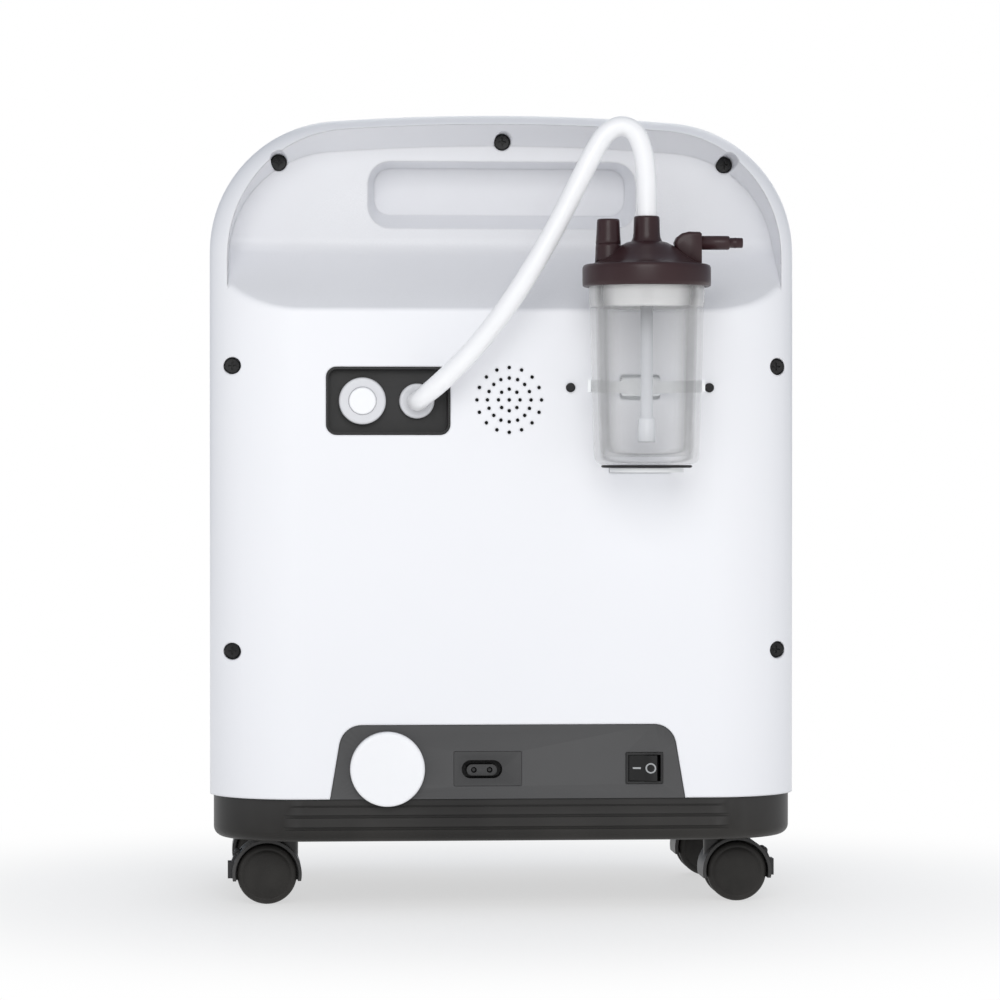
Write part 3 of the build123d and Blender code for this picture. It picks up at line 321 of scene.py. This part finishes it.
material("fork_plastic", (18, 18, 20), rough=0.4, vary=0.1, vary_scale=25, bump=0.12,
         bump_scale=1500, bevel=0.0007, wear=0.3, wear_rgb=(95, 95, 96), dirt=0.15)
material("wheel_rubber", (7, 7, 8), rough=0.5, spec=0.22, vary=0.12, vary_scale=30, bump=0.2,
         bump_scale=1200, wear=0.3, wear_rgb=(105, 104, 102), dirt=0.2)
material("axle_steel", (185, 186, 188), rough=0.28, metal=1.0, vary=0.06, vary_scale=60,
         bump=0.05, bump_scale=1500, wear=0.2)
material("brake_plastic", (22, 22, 24), rough=0.45, vary=0.1, vary_scale=30, bump=0.12,
         bump_scale=1500, bevel=0.0006, wear=0.3, wear_rgb=(95, 95, 96))
# cap white made greyer to paint the shade on the port rings, with occlusion shade in their
# hollows
material("port_white_painted_shade", (216, 217, 221), rough=0.36, vary=0.012, vary_scale=20, bump=0.04,
         bump_scale=1500, bevel=0.0004, painted_shade=0.12, painted_shade_reach=0.01)
# the plate grey is its own colour; the short-reach occlusion term paints shade into the socket
material("inlet_grey", (52, 52, 53), rough=0.5, vary=0.06, vary_scale=30, bump=0.1,
         bump_scale=1600, bevel=0.0002, wear=0.2, wear_rgb=(110, 110, 110), painted_shade=0.6,
         painted_shade_reach=0.005)
material("mark_white", (168, 170, 172), rough=0.5, vary=0.06, vary_scale=150, bump=0.05,
         bump_scale=1500)
material("mark_dark", (60, 66, 74), rough=0.5, vary=0.08, vary_scale=150, bump=0.05,
         bump_scale=1500)
material("mark_blue", (120, 200, 230), rough=0.35, vary=0.08, vary_scale=150, bump=0.02,
         bump_scale=1500)
material("floor", (250, 250, 250), rough=0.65, vary=0.004, vary_scale=3, bump=0.02,
         bump_scale=200)


def dress_frame():
    """Give every loaded piece the material of its slot; two pieces have their own."""
    slots = {part["node"]: part["material_slot"] for part in frame["record"]["subparts"]}
    for name, piece in NODES.items():
        piece.data.materials.clear()
        piece.data.materials.append(MATERIALS[slots[name]])
    NODES["mains_inlet"].data.materials[0] = MATERIALS["inlet_grey"]
    # the outlet ports get the greyer white that paints the shade on their rings
    NODES["outlet_ports"].data.materials[0] = MATERIALS["port_white_painted_shade"]


# ------------------------------------------------------------------ mesh helpers
# Shapes are passed around as (points, faces).
def new_mesh(name, shape, material_name, smooth=True, body=None):
    points, faces = shape
    mesh = bpy.data.meshes.new(name)
    mesh.from_pydata([tuple(p) for p in points], [], faces)
    edit = bmesh.new()
    edit.from_mesh(mesh)
    bmesh.ops.remove_doubles(edit, verts=edit.verts, dist=1e-7)
    bmesh.ops.recalc_face_normals(edit, faces=edit.faces)
    edit.to_mesh(mesh)
    edit.free()
    if smooth:
        mesh.polygons.foreach_set("use_smooth", [True] * len(mesh.polygons))
    made = bpy.data.objects.new(name, mesh)
    SCENE.collection.objects.link(made)
    mesh.materials.append(MATERIALS[material_name])
    if body:
        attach(made, body)
    return made


def replace_part(name, shape, slot, node, body="cabinet"):
    """Detailed piece that stands in for a loaded one."""
    made = new_mesh(name, shape, slot, body=body)
    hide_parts(node)


def join(shapes):
    points, faces = [], []
    for more_points, more_faces in shapes:
        start = len(points)
        points += more_points
        faces += [tuple(i + start for i in face) for face in more_faces]
    return points, faces


def lathe(profile, segments, place, flute=None):
    """Turn (radius, height) points about an axis; place(radius, angle, height) is a point.

    flute: (profile index, lobes, depth) of grooves cut at one profile point.
    """
    points, faces = [], []
    count = len(profile)
    for i in range(segments):
        angle = 2 * math.pi * i / segments
        for j, (radius, height) in enumerate(profile):
            if flute and j == flute[0]:
                radius -= flute[2] * (0.5 + 0.5 * math.cos(angle * flute[1]))
            points.append(place(radius, angle, height))
    for i in range(segments):
        k = (i + 1) % segments
        for j in range(count - 1):
            faces.append((i * count + j, i * count + j + 1, k * count + j + 1, k * count + j))
    return points, faces


def about_z(cx, cy):
    return lambda r, a, h: mm(cx + r * math.cos(a), cy + r * math.sin(a), h)


def about_y(cx, cz):
    return lambda r, a, h: mm(cx + r * math.cos(a), h, cz + r * math.sin(a))


def about_x(x0, cy, cz):
    return lambda r, a, h: mm(x0 + h, cy + r * math.cos(a), cz + r * math.sin(a))


def loft(rings, capped=True):
    """Skin over closed rings with equal point counts."""
    count = len(rings[0])
    faces = []
    for j in range(len(rings) - 1):
        near, far = j * count, (j + 1) * count
        for i in range(count):
            k = (i + 1) % count
            faces.append((near + i, near + k, far + k, far + i))
    if capped:
        last = (len(rings) - 1) * count
        faces += [tuple(range(count)), tuple(last + i for i in range(count))]
    return [point for ring in rings for point in ring], faces


def prism(near, far):
    """Solid between two matching outlines."""
    n = len(near)
    faces = [tuple(range(n)), tuple(range(2 * n - 1, n - 1, -1))]
    faces += [(i, (i + 1) % n, n + (i + 1) % n, n + i) for i in range(n)]
    return near + far, faces


def spline(stations, steps):
    """Centripetal Catmull-Rom curve through the stations."""
    stations = [Vector(p) for p in stations]
    ends = stations[0] * 2 - stations[1], stations[-1] * 2 - stations[-2]
    guide = [ends[0]] + stations + [ends[1]]
    curve = []
    for p0, p1, p2, p3 in zip(guide, guide[1:], guide[2:], guide[3:]):
        gaps = [max(1e-6, (b - a).length) ** 0.5 for a, b in ((p0, p1), (p1, p2), (p2, p3))]
        t0, t1 = 0.0, gaps[0]
        t2 = t1 + gaps[1]
        t3 = t2 + gaps[2]
        for step in range(steps):
            t = t1 + (t2 - t1) * step / steps
            a1 = p0 * ((t1 - t) / (t1 - t0)) + p1 * ((t - t0) / (t1 - t0))
            a2 = p1 * ((t2 - t) / (t2 - t1)) + p2 * ((t - t1) / (t2 - t1))
            a3 = p2 * ((t3 - t) / (t3 - t2)) + p3 * ((t - t2) / (t3 - t2))
            b1 = a1 * ((t2 - t) / (t2 - t0)) + a2 * ((t - t0) / (t2 - t0))
            b2 = a2 * ((t3 - t) / (t3 - t1)) + a3 * ((t - t1) / (t3 - t1))
            curve.append(b1 * ((t2 - t) / (t2 - t1)) + b2 * ((t - t1) / (t2 - t1)))
    return curve + [stations[-1]]


def relax(path, rounds):
    """Smooth a path, holding its ends."""
    for _ in range(rounds):
        inside = [(a + b * 2 + c) / 4 for a, b, c in zip(path, path[1:], path[2:])]
        path = [path[0]] + inside + [path[-1]]
    return path


def hollow_pipe(path, outer, bore, segments):
    """Open tube along a path; outer(s) is its radius at the 0..1 position s."""
    count = len(path)
    side = Vector((0, 0, 1))
    outer_rings, bore_rings = [], []
    for i, centre in enumerate(path):
        along = (path[min(i + 1, count - 1)] - path[max(i - 1, 0)]).normalized()
        side = (side - along * side.dot(along)).normalized()
        across = along.cross(side)
        for rings, radius in ((outer_rings, outer(i / (count - 1))), (bore_rings, bore)):
            ring = []
            for k in range(segments):
                a = 2 * math.pi * k / segments
                offset = side * (radius * math.cos(a)) + across * (radius * math.sin(a))
                ring.append(mm(*(centre + offset)))
            rings.append(ring)
    points, faces = join([loft(outer_rings, capped=False), loft(bore_rings, capped=False)])
    for start in (0, (count - 1) * segments):
        bore_start = start + count * segments
        for k in range(segments):
            k2 = (k + 1) % segments
            faces.append((start + k, start + k2, bore_start + k2, bore_start + k))
    return points, faces


def plate(name, outline, y0, y1, material_name, bevel):
    """Thin plate on the cabinet: an X/Z outline between y0 and y1, with rounded edges."""
    shape = prism([mm(x, y0, z) for x, z in outline], [mm(x, y1, z) for x, z in outline])
    made = new_mesh(name, shape, material_name, smooth=False)
    edit = bmesh.new()
    edit.from_mesh(made.data)
    bmesh.ops.bevel(edit, geom=list(edit.edges), offset=bevel / 1000, segments=2,
                    affect="EDGES")
    edit.to_mesh(made.data)
    edit.free()
    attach(made, "cabinet")
    return made


def round_rect(cx, cz, width, height, radius, steps=3):
    outline = []
    for sx, sz, start in ((1, 1, 0), (-1, 1, 90), (-1, -1, 180), (1, -1, 270)):
        for i in range(steps + 1):
            a = math.radians(start + 90 * i / steps)
            outline.append((cx + sx * (width / 2 - radius) + radius * math.cos(a),
                            cz + sz * (height / 2 - radius) + radius * math.sin(a)))
    return outline


# ------------------------------------------------------------------ humidifier
# Hose centre line (x, y, z), from the cabinet up and over into the bottle lid
HOSE_STATIONS = [
    (-59.9, -149, 335.5), (-59.3, -158, 335.8), (-55.5, -167, 339), (-45, -175, 348),
    (-23.5, -184, 370), (1.5, -189, 403), (24.5, -192, 441), (42, -193, 475),
    (54.5, -193, 499.5), (62.0, -192.5, 509.5), (70.5, -192, 513.0), (78.5, -192, 510.0),
    (84.0, -192, 499), (86.6, -192, 482), (BOTTLE_X, BOTTLE_Y, 463), (BOTTLE_X, BOTTLE_Y, 446),
]
HOSE_RADIUS, HOSE_BORE_RADIUS = 6.5, 4.2
HOSE_RIPPLE = 0.12  # fades out towards the lid

# Turned profiles (radius, height)
JAR_PROFILE = [
    (0, 293.6), (12, 293.6), (24, 293.7), (30, 293.9), (32.6, 295.0), (33.9, 297.4),
    (34.25, 300.5), (35.2, 330), (36.2, 362), (36.9, 392), (37.0, 397.2), (37.5, 399.0),
    (37.6, 401.0), (37.6, 410), (37.5, 418.6), (36.8, 419.2), (35.4, 419.2), (34.9, 418.4),
    (34.9, 402), (34.6, 399), (33.6, 396.4), (32.9, 393.8), (32.4, 362), (31.4, 330),
    (30.5, 306), (29.6, 301.8), (27.2, 299.4), (22, 298.8), (10, 298.6), (0, 298.6),
]
LID_PROFILE = [
    (0, 438.4), (7, 438.4), (10, 438.2), (13, 437.6), (17, 435.6), (21, 432.6), (25, 429.4),
    (29, 426.6), (33, 424.6), (35.6, 423.7), (37.5, 423.3), (39.5, 423.2), (40.9, 422.6),
    (41.6, 421.2), (41.7, 419.4), (41.7, 411.4), (41.5, 409.4), (40.6, 408.8), (38.7, 408.8),
    (38.2, 409.6), (38.1, 418), (37.4, 420.0), (30, 420.4), (20, 424), (10, 426), (0, 426),
]
LID_INLET_PROFILE = [
    (3.4, 436), (11.5, 436), (9.9, 438.6), (9.0, 440.8), (8.6, 444), (8.4, 453.0),
    (8.1, 454.2), (7.3, 454.6), (6.75, 454.0), (6.7, 446), (3.4, 446), (3.4, 436),
]
RELIEF_BOSS_PROFILE = [(0, 423.4), (8.7, 423.4), (8.5, 428), (8.3, 434.4), (8.1, 436.5),
                       (0, 436.5)]
RELIEF_PROFILE = [
    (0, 436.6), (8.0, 436.6), (8.2, 437.2), (8.0, 439), (7.8, 442), (7.6, 446), (7.4, 450.6),
    (7.2, 452.0), (6.6, 452.6), (5.6, 452.6), (5.1, 452.0), (5.0, 446.6), (4.6, 446.1),
    (2.0, 446.1), (1.6, 448.0), (0, 448.2),
]
BUBBLER_PROFILE = [(0, 429), (3.9, 429), (3.9, 324.4), (5.0, 323.6), (5.4, 322.6),
                   (5.8, 309), (5.4, 308.2), (0, 308.0)]
PAD_PROFILE = [(0, 291.5), (27.8, 291.5), (29.0, 291.7), (29.5, 292.4), (29.3, 293.0),
               (28.6, 293.3), (26, 293.2), (25, 292.9), (0, 292.9)]

# Web outline (x from the bottle axis, z) and its (y from the bottle axis, scale) layers
WEB_OUTLINE = [
    (35.6, 422.6), (35.6, 443.2), (34.4, 444.4), (27.0, 444.6), (22.6, 443.4), (19.2, 440.8),
    (17.6, 437.4), (18.4, 434.0), (21.5, 430.6), (27.5, 425.4),
]
WEB_LAYERS = [(-5.6, 0.82), (-5.0, 0.95), (-3.6, 1.0), (3.6, 1.0), (5.0, 0.95), (5.6, 0.82)]
WEB_CENTRE = (28.0, 434.0)
# Side outlet (radius, x from the bottle axis)
OUTLET_PROFILE = [
    (0, 32), (4.55, 32), (4.55, 52.6), (4.35, 53.6), (3.9, 53.9), (3.3, 54.0), (3.3, 57.2),
    (3.5, 57.6), (3.3, 58.4), (3.3, 61.9), (3.05, 62.5), (2.0, 62.6), (1.8, 62.2), (1.8, 39),
    (0, 39),
]


def build_hose():
    path = relax(spline(HOSE_STATIONS, steps=8), rounds=6)
    shape = hollow_pipe(
        path,
        outer=lambda s: HOSE_RADIUS + HOSE_RIPPLE * math.sin(40 * s) * (1 - s),
        bore=HOSE_BORE_RADIUS,
        segments=36,
    )
    replace_part("hose_visual", shape, "hose_white", "oxygen_hose")


def build_jar():
    shape = lathe(JAR_PROFILE, 96, about_z(BOTTLE_X, BOTTLE_Y))
    replace_part("jar_visual", shape, "jar_clear", "bottle_jar", body="bottle_jar_body")


def build_lid():
    """Domed lid with its central inlet and the boss under the relief valve."""
    shape = join([
        lathe(LID_PROFILE, 128, about_z(BOTTLE_X, BOTTLE_Y)),
        lathe(LID_INLET_PROFILE, 64, about_z(BOTTLE_X, BOTTLE_Y)),
        lathe(RELIEF_BOSS_PROFILE, 64, about_z(RELIEF_X, BOTTLE_Y)),
    ])
    replace_part("lid_visual", shape, "lid_brown", "bottle_lid")


def build_relief_valve():
    shape = lathe(RELIEF_PROFILE, 64, about_z(RELIEF_X, BOTTLE_Y))
    replace_part("relief_visual", shape, "lid_brown", "relief_valve")


def build_outlet():
    """Rounded web rising off the dome, with the barb leaving towards +X."""
    cx, cz = WEB_CENTRE
    web = loft([
        [mm(BOTTLE_X + cx + (x - cx) * scale, BOTTLE_Y + y, cz + (z - cz) * scale)
         for x, z in WEB_OUTLINE]
        for y, scale in WEB_LAYERS
    ])
    barb = lathe(OUTLET_PROFILE, 48, about_x(BOTTLE_X, BOTTLE_Y, OUTLET_Z))
    replace_part("elbow_visual", join([web, barb]), "lid_brown", "outlet_elbow")


def build_bubbler():
    shape = lathe(BUBBLER_PROFILE, 40, about_z(BOTTLE_X, BOTTLE_Y), flute=(5, 12, 0.4))
    replace_part("bubbler_visual", shape, "tube_clear", "bubbler_tube")


def build_pad():
    shape = lathe(PAD_PROFILE, 72, about_z(BOTTLE_X, BOTTLE_Y))
    replace_part("pad_visual", shape, "pad_rubber", "jar_pad")


# ------------------------------------------------------------------ intake filter
FILTER_RADIUS = 16.0
PLEAT_DEPTH, PLEAT_COUNT = 1.3, 24
FELT_WOBBLE = 0.35
# (y, radius scale), the end rings drawn almost to a point
FILTER_LAYERS = [(-142.4, 0.02), (-142.2, 0.35), (-138, 1.0), (-128, 1.0), (-122.9, 0.9),
                 (-122.6, 0.02)]


def build_filter():
    """Pleated felt disc."""
    segments = 144
    rings = []
    for y, scale in FILTER_LAYERS:
        ring = []
        for i in range(segments):
            a = 2 * math.pi * i / segments
            spot = Vector((math.cos(a) * 6, y * 0.3, math.sin(a) * 6))
            wobble = FELT_WOBBLE * noise.noise(spot)
            radius = (FILTER_RADIUS + PLEAT_DEPTH * math.cos(a * PLEAT_COUNT) + wobble) * scale
            ring.append(mm(FILTER_X + radius * math.cos(a), y, FILTER_Z + radius * math.sin(a)))
        rings.append(ring)
    replace_part("filter_visual", loft(rings), "filter_felt", "intake_filter")


# ------------------------------------------------------------------ caster wheels
# Turned profiles (radius, distance from the caster's mid plane)
BORE_RADIUS, TREAD_START = 2.6, 7.6
WHEEL_PROFILE = [
    (BORE_RADIUS, TREAD_START), (17.4, TREAD_START), (18.9, 7.8), (19.8, 8.6), (20.0, 9.6),
    (20.0, 13.0), (19.7, 14.4), (18.8, 15.5), (17.3, 16.0), (16.6, 16.0), (16.2, 15.7),
    (15.8, 16.1), (13.5, 16.6), (9, 17.2), (4, 17.45), (0, 17.5),
]
BORE_PROFILE = [(BORE_RADIUS, TREAD_START), (BORE_RADIUS, 12.9), (0, 12.9)]


def build_wheels(caster):
    """Twin wheels centred on the loaded pair."""
    node = f"{caster}_caster_wheels"
    low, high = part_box(node)
    cx, cy, cz = (low + high) / 2 * 1000
    cy -= DESIGN_SHIFT_Y
    shape = join([
        lathe([(r, cy + side * h) for r, h in profile], 96, about_y(cx, cz))
        for side in (-1, 1)
        for profile in (WHEEL_PROFILE, BORE_PROFILE)
    ])
    replace_part(f"{caster}_wheels_visual", shape, "wheel_rubber", node,
                 body=f"{caster}_wheels")


# ------------------------------------------------------------------ switch marks
# Sloped wings of the rocker: (start x, width, start depth, added depth), x from its centre
ON_WING = (-10.4, 9.9, 5.2, 2.2)
OFF_WING = (-0.5, 8.5, 7.4, 3.2)
MARK_PROUD, MARK_SUNK = 0.12, 0.2
OFF_RING_X = 4.0
OFF_RING_RADII = (2.5, 3.4)


def wing_points(x, z, wing):
    """Outer and sunken point of a mark on a wing, x and z from the rocker centre."""
    start, width, depth, rise = wing
    y = ROCKER_BASE_Y - depth - (x - start) / width * rise
    return (mm(ROCKER_X + x, y - MARK_PROUD, ROCKER_Z + z),
            mm(ROCKER_X + x, y + MARK_SUNK, ROCKER_Z + z))


def add_switch_mark(name, shape):
    made = new_mesh(name, shape, "mark_white", smooth=False, body="switch_rocker_body")


def build_on_mark():
    corners = [(-7.6, -0.55), (-2.4, -0.55), (-2.4, 0.55), (-7.6, 0.55)]
    pairs = [wing_points(x, z, ON_WING) for x, z in corners]
    add_switch_mark("mark_on", prism([p[0] for p in pairs], [p[1] for p in pairs]))


def build_off_mark():
    segments = 40
    points, faces = [], []
    for i in range(segments):
        angle = 2 * math.pi * i / segments
        for r in OFF_RING_RADII:
            x, z = OFF_RING_X + r * math.cos(angle), r * math.sin(angle)
            points += wing_points(x, z, OFF_WING)
    for i in range(segments):
        a, b = i * 4, (i + 1) % segments * 4
        faces += [(a, b, b + 2, a + 2), (a + 1, a + 3, b + 3, b + 1),
                  (a, a + 1, b + 1, b), (a + 2, b + 2, b + 3, a + 3)]
    add_switch_mark("mark_off", (points, faces))


# ------------------------------------------------------------------ +Y face marks
def screen_mark(name, x, z, width, height, material_name):
    outline = round_rect(x, z, width, height, min(width, height) * 0.4)
    plate(name, outline, 150.55, 150.75, material_name, bevel=0.05)


def build_screen():
    """Bar graph between two lines."""
    for i in range(10):
        level = i % 5 + 2
        screen_mark(f"screen_bar_{i}", x=SCREEN_X + 24 - 9.5 * i, z=SCREEN_Z + 2 + 0.9 * level,
                    width=5.0, height=3.0 + 1.8 * level, material_name="mark_blue")
    for end, dz in (("low", -10), ("high", 27)):
        screen_mark(f"screen_line_{end}", x=SCREEN_X - 18, z=SCREEN_Z + dz,
                    width=98, height=1.0, material_name="mark_white")


def build_flow_scale():
    """Ticks up the flow meter, every fifth one longer."""
    for i in range(11):
        outline = round_rect(cx=115.0, cz=366 + 6.2 * i, width=7.0 if i % 5 == 0 else 4.0,
                             height=0.7, radius=0.25)
        tick = plate(f"flow_tick_{i}", outline, 150.35, 150.55, "mark_dark", bevel=0.03)


def build_button_rings():
    # closed section (radius, y)
    section = [(2.4, 152.45), (2.4, 152.75), (3.1, 152.75), (3.1, 152.45), (2.4, 152.45)]
    for button, dz in (("power", 16), ("timer", -14)):
        shape = lathe(section, 36, about_y(SCREEN_X + 62, SCREEN_Z + dz))
        made = new_mesh(f"{button}_ring", shape, "mark_white", body=f"{button}_button_body")


# ------------------------------------------------------------------ stage, metres
FLOOR_HALF, FLOOR_Z = 14, -0.0002


def build_floor():
    """Floor that fades to pure white away from the origin."""
    tree = MATERIALS["floor"].node_tree
    glow = add(tree, "Emission", {"Color": (1, 1, 1, 1), "Strength": 1.0})
    coords = add(tree, "TexCoord").outputs["Object"]
    distance = add(tree, "VectorMath", {0: coords}, operation="LENGTH").outputs["Value"]
    fade = add(tree, "MapRange",
               {"Value": distance, "From Min": 0.16, "From Max": 0.62, "To Min": 0.6},
               interpolation_type="SMOOTHERSTEP").outputs[0]
    surface = tree.nodes["Principled BSDF"].outputs[0]
    blend = add(tree, "MixShader", {0: fade, 1: surface, 2: glow.outputs[0]})
    wire(tree, tree.nodes["Material Output"], {0: blend.outputs[0]})

    corners = [(x, y, FLOOR_Z) for y in (-FLOOR_HALF, FLOOR_HALF)
               for x in (-FLOOR_HALF, FLOOR_HALF)]
    mesh = bpy.data.meshes.new("floor")
    mesh.from_pydata(corners, [], [(0, 1, 3, 2)])
    mesh.polygons.foreach_set("use_smooth", [True])
    floor = bpy.data.objects.new("floor", mesh)
    SCENE.collection.objects.link(floor)
    mesh.materials.append(MATERIALS["floor"])


def build_world():
    """Plain white to the camera; light that is brighter from -Y than from +Y."""
    world = bpy.data.worlds.new("studio")
    SCENE.world = world
    world.use_nodes = True
    tree = world.node_tree
    tree.nodes.clear()
    output = add(tree, "OutputWorld")
    seen = add(tree, "Background", {"Color": (1, 1, 1, 1), "Strength": 1.0})
    direction = add(tree, "TexCoord").outputs["Generated"]
    across = add(tree, "MapRange", {
        "Value": axis_value(tree, direction, "Y"), "From Min": -1.0, "From Max": 1.0,
    }).outputs[0]
    sky = ramp(tree, across, [(0.0, (0.98, 0.985, 1.0)), (1.0, (0.27, 0.32, 0.40))])
    light = add(tree, "Background", {"Color": sky, "Strength": 0.70})
    to_camera = add(tree, "LightPath").outputs["Is Camera Ray"]
    blend = add(tree, "MixShader", {0: to_camera, 1: light.outputs[0], 2: seen.outputs[0]})
    wire(tree, output, {0: blend.outputs[0]})


def area_light(name, place, target, size, power, color, size_y=None):
    light = bpy.data.lights.new(name, "AREA")
    light.energy = power
    light.color = color
    light.size = size
    if size_y:
        light.shape = "RECTANGLE"
        light.size_y = size_y
    lamp = bpy.data.objects.new(name, light)
    SCENE.collection.objects.link(lamp)
    lamp.location = place
    aim = Vector(target) - Vector(place)
    lamp.rotation_euler = aim.to_track_quat("-Z", "Y").to_euler()


def build_lights():
    cool = (0.86, 0.93, 1.0)
    area_light("key", place=(-0.25, -2.9, 1.45), target=(0, 0, 0.27), size=1.7, power=28.5,
               color=(1.0, 0.995, 0.985))
    area_light("left_strip", place=(-1.8, -0.6, 0.6), target=(0, 0, 0.28), size=0.5,
               power=0.6, color=cool, size_y=1.6)
    area_light("right_strip", place=(1.8, -0.6, 0.6), target=(0, 0, 0.28), size=0.4,
               power=0.25, color=cool, size_y=1.6)
    area_light("front_fill", place=(0.5, 3.0, 1.4), target=(0, 0, 0.3), size=1.8, power=16,
               color=(1.0, 0.99, 0.98))


def build_camera():
    """Long lens on the -Y side, turned slightly and looking slightly down."""
    turn, tilt = math.radians(-3.9), math.radians(0.4)
    distance = 2.6
    target = mm(-5.45, -150, 270.4)
    forward = Vector((-math.sin(turn) * math.cos(tilt), math.cos(turn) * math.cos(tilt),
                      -math.sin(tilt)))
    data = bpy.data.cameras.new("camera")
    camera = bpy.data.objects.new("camera", data)
    SCENE.collection.objects.link(camera)
    data.sensor_width = 36
    data.lens = 142.35624
    data.clip_start, data.clip_end = 0.05, 100
    camera.location = target - forward * distance
    camera.rotation_mode = "QUATERNION"
    camera.rotation_quaternion = forward.to_track_quat("-Z", "Y")
    SCENE.camera = camera
    SCENE.view_settings.view_transform = "Standard"
    SCENE.view_settings.look = "None"


# ------------------------------------------------------------------ build
dress_frame()
build_hose()
build_jar()
build_lid()
build_relief_valve()
build_outlet()
build_bubbler()
build_pad()
build_filter()
for caster_name in ("rear_left", "rear_right", "front_left", "front_right"):
    build_wheels(caster_name)
build_on_mark()
build_off_mark()
build_screen()
build_flow_scale()
build_button_rings()
build_floor()
build_world()
build_lights()
build_camera()
